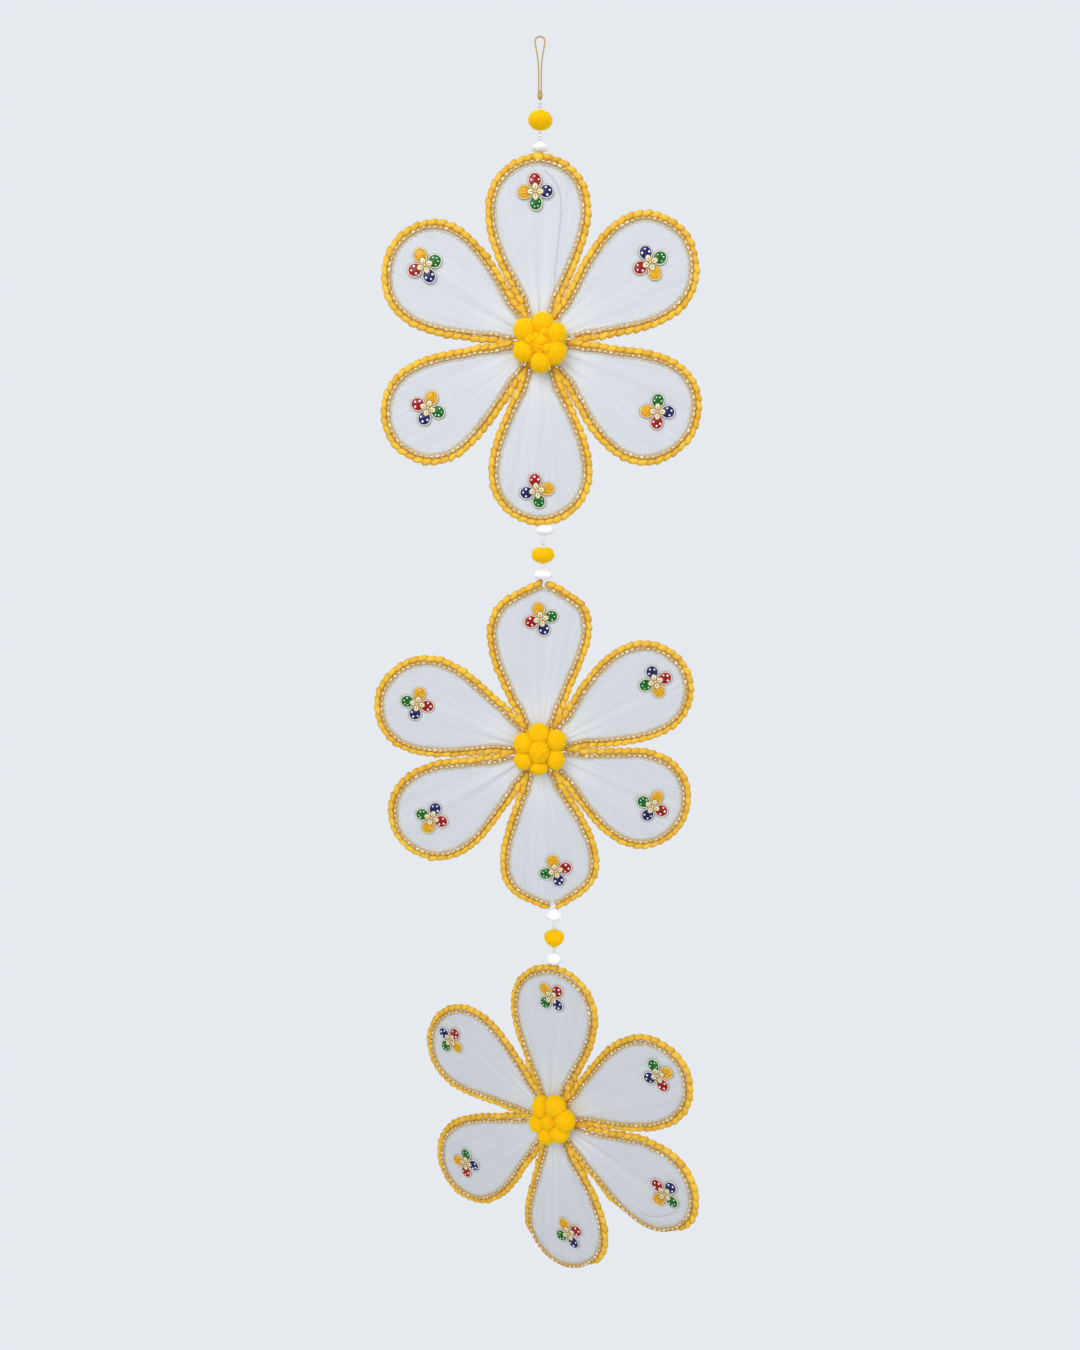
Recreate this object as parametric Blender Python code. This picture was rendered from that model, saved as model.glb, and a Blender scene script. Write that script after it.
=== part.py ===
"""Triple flower hanging: three net flowers on a string of beads and pompoms.

The origin is the top of the hanging loop. +Z is up, +X is the viewer's right, and the
front faces -Y. Every length below is in metres.
"""

import math
from collections import namedtuple

import bmesh
import bpy
from mathutils import Matrix, Vector

MM = 0.001

# Names of the petals, counter-clockwise from the top one
PETAL_PLACES = ("top", "left_top", "left_bottom", "bottom", "right_bottom", "right_top")

# Each flower's middle, and how far it has turned on its string
Flower = namedtuple("Flower", "name middle_x_mm middle_z_mm turned_deg")
FLOWERS = (
    Flower("upper", 0.0, -239.75, 0.0),
    Flower("middle", 0.0, -586.05, 0.0),
    Flower("lower", 12.0, -934.95, 30.0),
)

# Each petal's open net inside its braid: direction, length, half its width, sideways bow
Petal = namedtuple("Petal", "turn_deg length_mm half_width_mm bow_mm")
PETALS = {
    "upper": (
        Petal(90.5, 142.5, 35.5, 1.0),
        Petal(148.0, 139.0, 36.5, 1.0),
        Petal(212.0, 143.0, 35.0, -1.0),
        Petal(270.0, 143.0, 36.0, 0.5),
        Petal(329.5, 142.5, 38.5, -1.0),
        Petal(35.0, 143.0, 37.5, -1.5),
    ),
    "middle": (
        Petal(88.5, 141.0, 37.0, 4.5),
        Petal(159.5, 144.0, 36.5, -2.5),
        Petal(212.0, 143.5, 36.0, 0.5),
        Petal(274.5, 139.5, 36.0, 0.5),
        Petal(333.0, 136.5, 36.5, 1.0),
        Petal(30.0, 140.5, 35.5, 1.0),
    ),
    "lower": (
        Petal(89.5, 141.5, 37.0, 1.5),
        Petal(156.5, 143.0, 37.0, -3.0),
        Petal(218.5, 149.0, 34.0, -1.5),
        Petal(276.0, 140.0, 36.0, 3.5),
        Petal(340.5, 142.5, 35.5, 0.0),
        Petal(34.0, 149.0, 34.0, -0.5),
    ),
}

# Each motif's middle in its flower, and the direction of its first lobe
Motif = namedtuple("Motif", "across_mm up_mm turn_deg")
MOTIFS = {
    "upper": (
        Motif(-3.8, 119.9, 92.0),
        Motif(-95.2, 61.8, 203.0),
        Motif(-94.3, -53.2, 159.5),
        Motif(-2.6, -121.7, 101.0),
        Motif(98.8, -56.0, 268.0),
        Motif(91.0, 64.0, 206.0),
    ),
    "middle": (
        Motif(1.0, 115.3, 195.0),
        Motif(-107.1, 41.2, 346.0),
        Motif(-96.0, -61.4, 339.0),
        Motif(14.0, -110.0, 16.5),
        Motif(99.5, -50.7, 333.0),
        Motif(100.5, 60.7, 20.0),
    ),
    "lower": (
        Motif(-1.2, 119.8, 47.0),
        Motif(-113.3, 50.5, 55.0),
        Motif(-96.4, -72.8, 271.0),
        Motif(17.9, -107.1, 33.0),
        Motif(113.1, -35.6, 142.5),
        Motif(105.0, 72.5, 299.0),
    ),
}

# The pompoms on each flower's middle: place, half width, half height, how far forward
Pompom = namedtuple("Pompom", "across_mm up_mm half_width_mm half_height_mm forward_mm")
POMPOM_GROUPS = {
    "upper": (
        Pompom(-1.0, -1.6, 10.5, 10.0, 9.6),
        Pompom(2.0, 13.7, 9.3, 9.0, 7.6),
        Pompom(-12.5, 8.7, 9.0, 9.3, 7.6),
        Pompom(-13.5, -8.2, 8.3, 8.5, 7.4),
        Pompom(0.5, -16.7, 8.5, 8.6, 7.2),
        Pompom(12.0, -8.8, 9.5, 9.5, 7.6),
        Pompom(12.5, 5.7, 9.0, 9.0, 7.6),
    ),
    "middle": (
        Pompom(-1.0, 1.4, 9.2, 10.8, 10.0),
        Pompom(-1.0, 16.3, 9.0, 9.0, 7.6),
        Pompom(-14.0, 7.8, 8.6, 9.0, 7.6),
        Pompom(-14.3, -7.0, 7.8, 8.0, 7.2),
        Pompom(-1.0, -13.6, 7.6, 5.6, 7.0),
        Pompom(13.5, -6.2, 7.4, 9.0, 7.2),
        Pompom(13.8, 10.8, 8.6, 8.6, 7.6),
    ),
    "lower": (
        Pompom(3.2, 5.5, 7.5, 7.0, 8.4),
        Pompom(8.8, 20.9, 9.5, 9.5, 7.6),
        Pompom(-6.3, 16.4, 7.8, 9.6, 7.6),
        Pompom(-8.9, -0.2, 8.4, 8.2, 7.4),
        Pompom(0.1, -9.2, 8.6, 8.0, 7.4),
        Pompom(12.7, -3.6, 8.8, 8.0, 7.6),
        Pompom(18.8, 10.6, 9.4, 9.6, 7.8),
    ),
}

# Petal outline: a teardrop, narrow at the flower's middle and round at the tip
BASE_TAPER = 1.62
TIP_ROUNDNESS = 0.57
PETAL_STEPS = 20

# Depths of a flower's layers, front to back (y is negative towards the viewer)
NET_THICKNESS = 1.0 * MM
LAYER_GAP = 0.3 * MM
GOLD_BACK = -(NET_THICKNESS / 2 + LAYER_GAP)
GOLD_THICKNESS = 2.4 * MM
GOLD_FRONT = GOLD_BACK - GOLD_THICKNESS
GOLD_WIDTH = 3.2 * MM
YELLOW_RADIUS = 2.7 * MM
YELLOW_DEPTH = 1.0 * MM
YELLOW_SIDES = 5

# Distances outwards from the open net's edge
GOLD_OFFSET = GOLD_WIDTH / 2
NET_OFFSET = 3.0 * MM
YELLOW_OFFSET = 5.85 * MM

# From the middle outwards the yellow braid is one row between two petals, then two rows
# that lie side by side, and then each row follows its own petal
ROW_HALF_PITCH = YELLOW_RADIUS + 0.25 * MM
SINGLE_HALF_PITCH = 0.2 * MM
SINGLE_ROW_TO = 26.0 * MM
TWO_ROWS_FROM = 40.0 * MM
SIDE_BY_SIDE_TO = 34.0 * MM
FREE_FROM = 66.0 * MM
ROW_TURN = 41.0 * MM
YELLOW_START = 44.0 * MM
GOLD_START = 15.0 * MM
NET_START = 11.5 * MM

# The single rows of yellow braid, and the disc that the gold braid runs into
ARM_HALF_WIDTH = 2.4 * MM
ARM_HALF_DEPTH = 1.9 * MM
ARM_TIP = ROW_TURN - ROW_HALF_PITCH + 1.0 * MM
GOLD_MIDDLE_RADIUS = 18.5 * MM
GOLD_MIDDLE_BACK = -2.0 * MM
GOLD_MIDDLE_SIDES = 12

# Motifs
MOTIF_THICKNESS = 1.5 * MM
MOTIF_LOBES = 4
LOBE_REACH = 9.6 * MM
LOBE_RADIUS = 5.2 * MM
MOTIF_WAIST = 5.2 * MM
LOBE_ANGLES_DEG = (-28.0, -14.0, 0.0, 14.0, 28.0)

# Pompoms: round from front to back, flat where they are sewn down
GROUP_BACK = GOLD_FRONT - LAYER_GAP
POMPOM_HALF_DEPTH = 9.2 * MM
POMPOM_DIVISIONS = 2

# Hanging loop of cord: half its outline, from the knot up to the top
CORD_DIAMETER = 1.6 * MM
LoopPoint = namedtuple("LoopPoint", "half_width_mm z_mm")
LOOP_HALF = (
    LoopPoint(1.05, -43.0),
    LoopPoint(1.05, -36.0),
    LoopPoint(1.1, -29.0),
    LoopPoint(1.3, -22.0),
    LoopPoint(2.1, -15.0),
    LoopPoint(3.3, -9.0),
    LoopPoint(4.0, -5.0),
    LoopPoint(3.2, -2.1),
    LoopPoint(0.0, -0.8),
)
LOOP_SMOOTHING = 2

# The strings: each piece's middle height, half height and radius, and each string's place
Bead = namedtuple("Bead", "z_mm half_height_mm radius_mm")
Ball = namedtuple("Ball", "name colour z_mm half_height_mm radius_mm")
BeadRun = namedtuple("BeadRun", "name top_mm bottom_mm beads")
Strand = namedtuple("Strand", "x_mm balls bead_runs")
STRANDS = (
    Strand(
        0.0,
        (
            Ball("top_yellow_pompom", "yellow", -64.7, 7.9, 9.7),
            Ball("top_white_pompom", "white", -84.3, 4.0, 6.9),
        ),
        (
            BeadRun(
                "top_knot_and_beads",
                -43.3,
                -56.5,
                (Bead(-46.2, 2.6, 2.6), Bead(-50.9, 1.3, 1.6), Bead(-53.4, 1.1, 1.5)),
            ),
            BeadRun("top_lower_beads", -72.9, -80.0, (Bead(-74.8, 1.5, 1.7), Bead(-78.2, 1.5, 1.7))),
        ),
    ),
    Strand(
        2.5,
        (
            Ball("upper_link_white_pompom", "white", -396.2, 4.4, 8.5),
            Ball("upper_link_yellow_pompom", "yellow", -416.3, 6.6, 9.9),
            Ball("upper_link_low_white_pompom", "white", -431.9, 4.3, 8.5),
        ),
        (
            BeadRun("upper_link_beads", -401.0, -409.4, (Bead(-403.6, 1.5, 1.7), Bead(-407.2, 1.5, 1.7))),
            BeadRun("upper_link_lower_beads", -423.2, -427.2, (Bead(-425.2, 1.5, 1.7),)),
        ),
    ),
    Strand(
        12.8,
        (
            Ball("lower_link_white_pompom", "white", -738.9, 4.5, 8.5),
            Ball("lower_link_yellow_pompom", "yellow", -759.7, 7.3, 9.2),
            Ball("lower_link_low_white_pompom", "white", -779.3, 5.2, 6.7),
        ),
        (
            BeadRun("lower_link_beads", -744.0, -752.1, (Bead(-746.2, 1.5, 1.7), Bead(-749.6, 1.5, 1.7))),
            BeadRun("lower_link_lower_beads", -767.3, -773.5, (Bead(-769.2, 1.4, 1.7), Bead(-771.9, 1.1, 1.7))),
        ),
    ),
)
THREAD_RADIUS = 0.6 * MM
BEAD_SIDES = 8
BEAD_SHOULDER = 0.45

# Finishes: colour, roughness, metallic
FINISHES = {
    "white_net": ((0.86, 0.87, 0.89), 0.75, 0.0),
    "yellow_braid": ((0.93, 0.56, 0.05), 0.80, 0.0),
    "gold_braid": ((0.74, 0.55, 0.25), 0.35, 0.8),
    "yellow_pompom": ((0.98, 0.64, 0.03), 0.95, 0.0),
    "white_pompom": ((0.90, 0.91, 0.93), 0.95, 0.0),
    "bead": ((0.88, 0.88, 0.86), 0.25, 0.1),
    "jewel": ((0.80, 0.66, 0.42), 0.30, 0.3),
    "gold_cord": ((0.72, 0.50, 0.16), 0.40, 0.7),
}


def clear_scene():
    """Remove every object of the scene."""
    for thing in list(bpy.data.objects):
        bpy.data.objects.remove(thing, do_unlink=True)


def finish_material(name):
    """Return the Principled material of one finish."""
    if name in bpy.data.materials:
        return bpy.data.materials[name]
    colour, roughness, metallic = FINISHES[name]
    material = bpy.data.materials.new(name)
    material.use_nodes = True
    shader = material.node_tree.nodes["Principled BSDF"]
    shader.inputs["Base Color"].default_value = (*colour, 1.0)
    shader.inputs["Roughness"].default_value = roughness
    shader.inputs["Metallic"].default_value = metallic
    return material


def add_object(name, bm, finish, place=None, smooth=True):
    """Turn a bmesh into a named object of the scene, at a place given by a matrix."""
    bmesh.ops.recalc_face_normals(bm, faces=bm.faces)
    mesh = bpy.data.meshes.new(name)
    bm.to_mesh(mesh)
    bm.free()
    if smooth:
        mesh.shade_smooth()
        mesh.set_sharp_from_angle(angle=math.radians(50.0))
    mesh.materials.append(finish_material(finish))
    thing = bpy.data.objects.new(name, mesh)
    bpy.context.scene.collection.objects.link(thing)
    if place is not None:
        thing.matrix_world = place
    return thing


def fuse(thing, other):
    """Join another object's solid to this one's."""
    union = thing.modifiers.new("join_" + other.name, "BOOLEAN")
    union.operation = "UNION"
    union.solver = "EXACT"
    union.object = other
    other.hide_render = True
    other.display_type = "WIRE"


def flower_place(flower):
    """Return the matrix that puts a flower's own frame in the hanging."""
    middle = Vector((flower.middle_x_mm * MM, 0.0, flower.middle_z_mm * MM))
    turned = Matrix.Rotation(-math.radians(flower.turned_deg), 4, "Z")
    return Matrix.Translation(middle) @ turned


def heading(angle):
    """Return the unit vector at an angle in a flower's plane."""
    return Vector((math.cos(angle), math.sin(angle)))


def valley_angles(flower):
    """Return the directions of the valleys that follow each petal counter-clockwise."""
    turns = [math.radians(petal.turn_deg) for petal in PETALS[flower.name]]
    angles = []
    for index, turn in enumerate(turns):
        gap = (turns[(index + 1) % len(turns)] - turn) % math.tau
        angles.append(turn + gap / 2)
    return angles


def teardrop_point(petal, t):
    """Return a point of the open net's outline, t running from the base round to the base."""
    along = (1 - math.cos(t)) / 2
    widest = BASE_TAPER / (BASE_TAPER + TIP_ROUNDNESS)
    peak = widest**BASE_TAPER * (1 - widest) ** TIP_ROUNDNESS
    fullness = max(along, 0.0) ** BASE_TAPER * max(1 - along, 0.0) ** TIP_ROUNDNESS / peak
    side = math.copysign(petal.half_width_mm, math.sin(t)) * fullness
    bow = petal.bow_mm * math.sin(math.pi * along)
    return Vector((petal.length_mm * along, side + bow)) * MM


def eased(value, start, end):
    """Return a share that rises smoothly from 0 at start to 1 at end."""
    share = min(max((value - start) / (end - start), 0.0), 1.0)
    return share * share * (3 - 2 * share)


def held_by_valley(point, valley, petal_side, offset):
    """Draw a point of an outline towards its valley near the middle, clear of the next row."""
    direction = heading(valley)
    across = Vector((-direction.y, direction.x)) * petal_side
    along = point.dot(direction)
    parted = eased(along, SINGLE_ROW_TO, TWO_ROWS_FROM)
    half_pitch = SINGLE_HALF_PITCH + (ROW_HALF_PITCH - SINGLE_HALF_PITCH) * parted
    clear = half_pitch + YELLOW_OFFSET - offset
    ease = eased(along, SIDE_BY_SIDE_TO, FREE_FROM)
    distance = clear + max(point.dot(across) - clear, 0.0) * ease
    return direction * along + across * distance


def petal_point(flower, index, t, offset):
    """Return an outline point of one petal in its flower's plane, moved outwards by offset."""
    petal = PETALS[flower.name][index]
    step = 0.002
    here = teardrop_point(petal, t)
    tangent = teardrop_point(petal, t + step) - teardrop_point(petal, t - step)
    outward = Vector((tangent.y, -tangent.x)).normalized()
    # t runs counter-clockwise side first, so the outside lies on the tangent's left
    local = here - outward * offset
    turn = math.radians(petal.turn_deg)
    point = Matrix.Rotation(turn, 2) @ local
    valleys = valley_angles(flower)
    if t < math.pi:
        return held_by_valley(point, valleys[index], -1, offset)
    return held_by_valley(point, valleys[index - 1], 1, offset)


def petal_outline(flower, index, start, offset):
    """Return a petal's outline points, clockwise side first, from base round to base."""
    length = PETALS[flower.name][index].length_mm * MM
    first = math.acos(1 - 2 * start / length)
    sweep = math.tau - 2 * first
    turns = [math.tau - first - sweep * step / PETAL_STEPS for step in range(PETAL_STEPS + 1)]
    return [petal_point(flower, index, t, offset) for t in turns]


def row_turn(valley):
    """Return the points where the yellow braid turns back from one petal to the next."""
    direction = heading(valley)
    across = Vector((-direction.y, direction.x))
    points = []
    for quarter in (1, 2, 3):
        angle = math.pi * quarter / 4
        inwards = direction * (ROW_TURN - ROW_HALF_PITCH * math.sin(angle))
        points.append(inwards - across * ROW_HALF_PITCH * math.cos(angle))
    return points


def add_ring(bm, centre, side, section):
    """Add one cross-section of a braid and return its edges."""
    verts = []
    for across, depth in section:
        spot = centre + side * across
        verts.append(bm.verts.new((spot.x, depth, spot.y)))
    return [bm.edges.new((vert, verts[index - 1])) for index, vert in enumerate(verts)]


def sweep_loop(points, section):
    """Return a bmesh of a closed braid: a section of (across, depth) carried round a path."""
    bm = bmesh.new()
    rings = []
    count = len(points)
    for index, centre in enumerate(points):
        before = (centre - points[index - 1]).normalized()
        after = (points[(index + 1) % count] - centre).normalized()
        tangent = (before + after).normalized()
        side = Vector((tangent.y, -tangent.x)) / tangent.dot(after)
        rings.append(add_ring(bm, centre, side, section))
    for index, ring in enumerate(rings):
        bmesh.ops.bridge_loops(bm, edges=ring + rings[index - 1])
    return bm


def round_section(radius, depth, sides):
    """Return the section of a round braid, as (across, depth) pairs."""
    angles = [math.tau * index / sides for index in range(sides)]
    return [(radius * math.cos(angle), depth + radius * math.sin(angle)) for angle in angles]


def flat_section(width, front, back):
    """Return the section of a flat braid, as (across, depth) pairs."""
    half = width / 2
    return [(-half, front), (half, front), (half, back), (-half, back)]


def plate(points, front, back):
    """Return a bmesh of a flat plate with the given outline, between two depths."""
    bm = bmesh.new()
    verts = [bm.verts.new((point.x, front, point.y)) for point in points]
    face = bm.faces.new(verts)
    sheet = bmesh.ops.extrude_face_region(bm, geom=[face])
    moved = [item for item in sheet["geom"] if isinstance(item, bmesh.types.BMVert)]
    bmesh.ops.translate(bm, verts=moved, vec=(0.0, back - front, 0.0))
    return bm


def build_net(flower, index, place):
    """Build one petal of net."""
    outline = petal_outline(flower, index, NET_START, NET_OFFSET)
    bm = plate(outline, -NET_THICKNESS / 2, NET_THICKNESS / 2)
    name = f"{flower.name}_net_{PETAL_PLACES[index]}"
    add_object(name, bm, "white_net", place, smooth=False)


def build_yellow_braid(flower, place):
    """Build the yellow braid that runs round all six petals, gathered in the middle."""
    path = []
    valleys = valley_angles(flower)
    for index in range(len(PETAL_PLACES)):
        path += petal_outline(flower, index, YELLOW_START, YELLOW_OFFSET)
        path += row_turn(valleys[index])
    section = round_section(YELLOW_RADIUS, YELLOW_DEPTH, YELLOW_SIDES)
    braid = add_object(f"{flower.name}_yellow_braid", sweep_loop(path, section), "yellow_braid", place)
    star = []
    for index, valley in enumerate(valleys):
        direction = heading(valley)
        across = Vector((-direction.y, direction.x)) * ARM_HALF_WIDTH
        tip = direction * ARM_TIP
        following = valleys[(index + 1) % len(valleys)]
        half_gap = ((following - valley) % math.tau) / 2
        inner = heading(valley + half_gap) * (ARM_HALF_WIDTH / math.sin(half_gap))
        star += [tip - across, tip + across, inner]
    arms = plate(star, YELLOW_DEPTH - ARM_HALF_DEPTH, YELLOW_DEPTH + ARM_HALF_DEPTH)
    fuse(braid, add_object(f"{flower.name}_yellow_arms", arms, "yellow_braid", place))


def build_gold_braid(flower, place):
    """Build the gold braid along the petals' edges, run together under the pompoms."""
    section = flat_section(GOLD_WIDTH, GOLD_FRONT, GOLD_BACK)
    disc = [heading(math.tau * step / GOLD_MIDDLE_SIDES) for step in range(GOLD_MIDDLE_SIDES)]
    middle = plate([spot * GOLD_MIDDLE_RADIUS for spot in disc], GOLD_FRONT, GOLD_MIDDLE_BACK)
    braid = add_object(f"{flower.name}_gold_braid", middle, "gold_braid", place)
    for index, where in enumerate(PETAL_PLACES):
        path = petal_outline(flower, index, GOLD_START, GOLD_OFFSET)
        loop = sweep_loop(path, section)
        fuse(braid, add_object(f"{flower.name}_gold_loop_{where}", loop, "gold_braid", place))


def lobe_edge(angle):
    """Return how far a lobe reaches at an angle from its own axis."""
    aside = LOBE_REACH * math.sin(angle)
    return LOBE_REACH * math.cos(angle) + math.sqrt(LOBE_RADIUS**2 - aside**2)


def build_motif(flower, index, place):
    """Build one four-lobed motif, lying on its petal."""
    motif = MOTIFS[flower.name][index]
    middle = Vector((motif.across_mm, motif.up_mm)) * MM
    outline = []
    for lobe in range(MOTIF_LOBES):
        axis = math.radians(motif.turn_deg) + math.tau * lobe / MOTIF_LOBES
        for aside in LOBE_ANGLES_DEG:
            angle = math.radians(aside)
            outline.append(middle + heading(axis + angle) * lobe_edge(angle))
        outline.append(middle + heading(axis + math.pi / MOTIF_LOBES) * MOTIF_WAIST)
    bm = plate(outline, GOLD_BACK - MOTIF_THICKNESS, GOLD_BACK)
    add_object(f"{flower.name}_motif_{PETAL_PLACES[index]}", bm, "jewel", place, smooth=False)


def pompom_shell(half_size, centre):
    """Return a bmesh of one pompom with the given half sizes and centre."""
    bm = bmesh.new()
    bmesh.ops.create_icosphere(bm, subdivisions=POMPOM_DIVISIONS, radius=1.0)
    bmesh.ops.scale(bm, verts=bm.verts, vec=half_size)
    bmesh.ops.translate(bm, verts=bm.verts, vec=centre)
    return bm


def cut_flat(bm, back):
    """Cut a solid off flat at a depth and close the cut."""
    everything = bm.verts[:] + bm.edges[:] + bm.faces[:]
    cut = bmesh.ops.bisect_plane(
        bm, geom=everything, plane_co=(0.0, back, 0.0), plane_no=(0.0, 1.0, 0.0), clear_outer=True
    )
    rim = [item for item in cut["geom_cut"] if isinstance(item, bmesh.types.BMEdge)]
    bmesh.ops.contextual_create(bm, geom=rim)


def build_pompom_group(flower, place):
    """Build the group of pompoms sewn on a flower's middle as one solid."""
    group = None
    for index, pompom in enumerate(POMPOM_GROUPS[flower.name]):
        half_size = (pompom.half_width_mm * MM, POMPOM_HALF_DEPTH, pompom.half_height_mm * MM)
        centre = (pompom.across_mm * MM, GROUP_BACK - pompom.forward_mm * MM, pompom.up_mm * MM)
        shell = pompom_shell(half_size, centre)
        cut_flat(shell, GROUP_BACK)
        if group is None:
            group = add_object(f"{flower.name}_pompom_group", shell, "yellow_pompom", place)
            continue
        name = f"{flower.name}_group_pompom_{index}"
        fuse(group, add_object(name, shell, "yellow_pompom", place))


def build_flower(flower):
    """Build every piece of one flower."""
    place = flower_place(flower)
    for index in range(len(PETAL_PLACES)):
        build_net(flower, index, place)
        build_motif(flower, index, place)
    build_yellow_braid(flower, place)
    build_gold_braid(flower, place)
    build_pompom_group(flower, place)


def build_ball(ball, x):
    """Build one pompom of a string, flattened along the string."""
    radius = ball.radius_mm * MM
    half_size = (radius, radius, ball.half_height_mm * MM)
    shell = pompom_shell(half_size, (x, 0.0, ball.z_mm * MM))
    add_object(ball.name, shell, f"{ball.colour}_pompom")


def build_bead_run(run, x):
    """Build a run of beads on its thread as one turned solid."""
    profile = [(0.0, run.top_mm * MM), (THREAD_RADIUS, run.top_mm * MM)]
    for bead in run.beads:
        middle = bead.z_mm * MM
        half = bead.half_height_mm * MM
        radius = bead.radius_mm * MM
        profile.append((THREAD_RADIUS, middle + half))
        profile.append((radius, middle + half * BEAD_SHOULDER))
        profile.append((radius, middle - half * BEAD_SHOULDER))
        profile.append((THREAD_RADIUS, middle - half))
    profile += [(THREAD_RADIUS, run.bottom_mm * MM), (0.0, run.bottom_mm * MM)]
    bm = bmesh.new()
    verts = [bm.verts.new((radius, 0.0, height)) for radius, height in profile]
    edges = [bm.edges.new((verts[index], vert)) for index, vert in enumerate(verts[1:])]
    bmesh.ops.spin(
        bm, geom=verts + edges, cent=(0.0, 0.0, 0.0), axis=(0.0, 0.0, 1.0),
        angle=math.tau, steps=BEAD_SIDES, use_merge=True,
    )
    bmesh.ops.remove_doubles(bm, verts=bm.verts, dist=0.01 * MM)
    bmesh.ops.translate(bm, verts=bm.verts, vec=(x, 0.0, 0.0))
    add_object(run.name, bm, "bead")


def smooth_route(points, divisions):
    """Return points along a smooth curve through the given ones."""
    route = []
    padded = [points[0] * 2 - points[1]] + points + [points[-1] * 2 - points[-2]]
    for index in range(1, len(padded) - 2):
        before, start, end, after = padded[index - 1:index + 3]
        for step in range(divisions):
            t = step / divisions
            pull = (end - before) * t + (before * 2 - start * 5 + end * 4 - after) * t * t
            route.append(start + (pull + (start * 3 - before - end * 3 + after) * t**3) * 0.5)
    route.append(points[-1])
    return route


def build_hanging_loop():
    """Build the loop of cord, from the knot up and back to the knot."""
    right = [Vector((spot.half_width_mm, 0.0, spot.z_mm)) * MM for spot in LOOP_HALF]
    left = [Vector((-spot.x, 0.0, spot.z)) for spot in reversed(right[:-1])]
    route = smooth_route(right + left, LOOP_SMOOTHING)
    cord = bpy.data.curves.new("hanging_loop", "CURVE")
    cord.dimensions = "3D"
    cord.bevel_depth = CORD_DIAMETER / 2
    cord.bevel_resolution = 2
    cord.render_resolution_u = 0
    cord.use_fill_caps = True
    spline = cord.splines.new("POLY")
    spline.points.add(len(route) - 1)
    for point, spot in zip(spline.points, route):
        point.co = (*spot, 1.0)
    spline.use_smooth = True
    cord.materials.append(finish_material("gold_cord"))
    thing = bpy.data.objects.new("hanging_loop", cord)
    bpy.context.scene.collection.objects.link(thing)


def build_strand(strand):
    """Build the pompoms and beads of one string."""
    x = strand.x_mm * MM
    for ball in strand.balls:
        build_ball(ball, x)
    for run in strand.bead_runs:
        build_bead_run(run, x)


def main():
    """Build the whole hanging."""
    clear_scene()
    build_hanging_loop()
    for strand in STRANDS:
        build_strand(strand)
    for flower in FLOWERS:
        build_flower(flower)


main()
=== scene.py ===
"""Triple flower hanging: the looks of its net, braids, motifs, pompoms, beads and cord.

Lengths are in metres, and names that end in _mm or _deg hold millimetres or degrees. Each
flower is worked out in its own plane, X across, Z up and -Y towards the viewer, and is
then put in its place in the hanging.
"""

import logging
import math
from collections.abc import Callable
from dataclasses import dataclass
from enum import Enum

import bmesh
import bpy
import numpy as np
from mathutils import Matrix, Vector, noise


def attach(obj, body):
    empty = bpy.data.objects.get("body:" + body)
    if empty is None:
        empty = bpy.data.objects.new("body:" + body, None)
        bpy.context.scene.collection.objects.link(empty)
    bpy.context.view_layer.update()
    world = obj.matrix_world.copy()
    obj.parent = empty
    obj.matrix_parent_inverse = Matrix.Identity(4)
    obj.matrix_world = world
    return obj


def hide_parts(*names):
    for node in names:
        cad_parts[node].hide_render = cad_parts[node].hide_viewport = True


Pair = tuple[float, float]
Triple = tuple[float, float, float]

MM = 0.001
BODY = "root"
LOG = logging.getLogger("hanging")

# Where the seeds of a flower's pieces start, above the flower's own
YELLOW_BRAID_SEED = 1
GILT_BRAID_SEED = 2
MOTIF_SEED = 20
NET_SEED = 40
POMPOM_SEED = 60

# The seed of the first flower, with the step to the next, and the same for the strings
FLOWER_SEED = 1000
STRING_SEED = 100
STRING_SEED_STEP = 10

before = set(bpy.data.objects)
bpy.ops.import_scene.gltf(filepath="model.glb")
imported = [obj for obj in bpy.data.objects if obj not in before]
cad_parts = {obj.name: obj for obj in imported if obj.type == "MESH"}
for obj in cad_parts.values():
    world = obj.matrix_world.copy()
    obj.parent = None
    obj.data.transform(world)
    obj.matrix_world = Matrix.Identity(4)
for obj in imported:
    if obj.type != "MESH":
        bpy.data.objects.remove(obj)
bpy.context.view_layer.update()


def srgb(red: int, green: int, blue: int) -> tuple[float, float, float, float]:
    """Return the linear colour of a screen colour.

    Args:
        red: Red from 0 to 255.
        green: Green from 0 to 255.
        blue: Blue from 0 to 255.

    Returns:
        Linear red, green and blue, and an alpha of 1.
    """
    linear = []
    for part in (red, green, blue):
        share = part / 255
        linear.append(share / 12.92 if share <= 0.04045 else ((share + 0.055) / 1.055) ** 2.4)
    return (*linear, 1.0)


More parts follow.
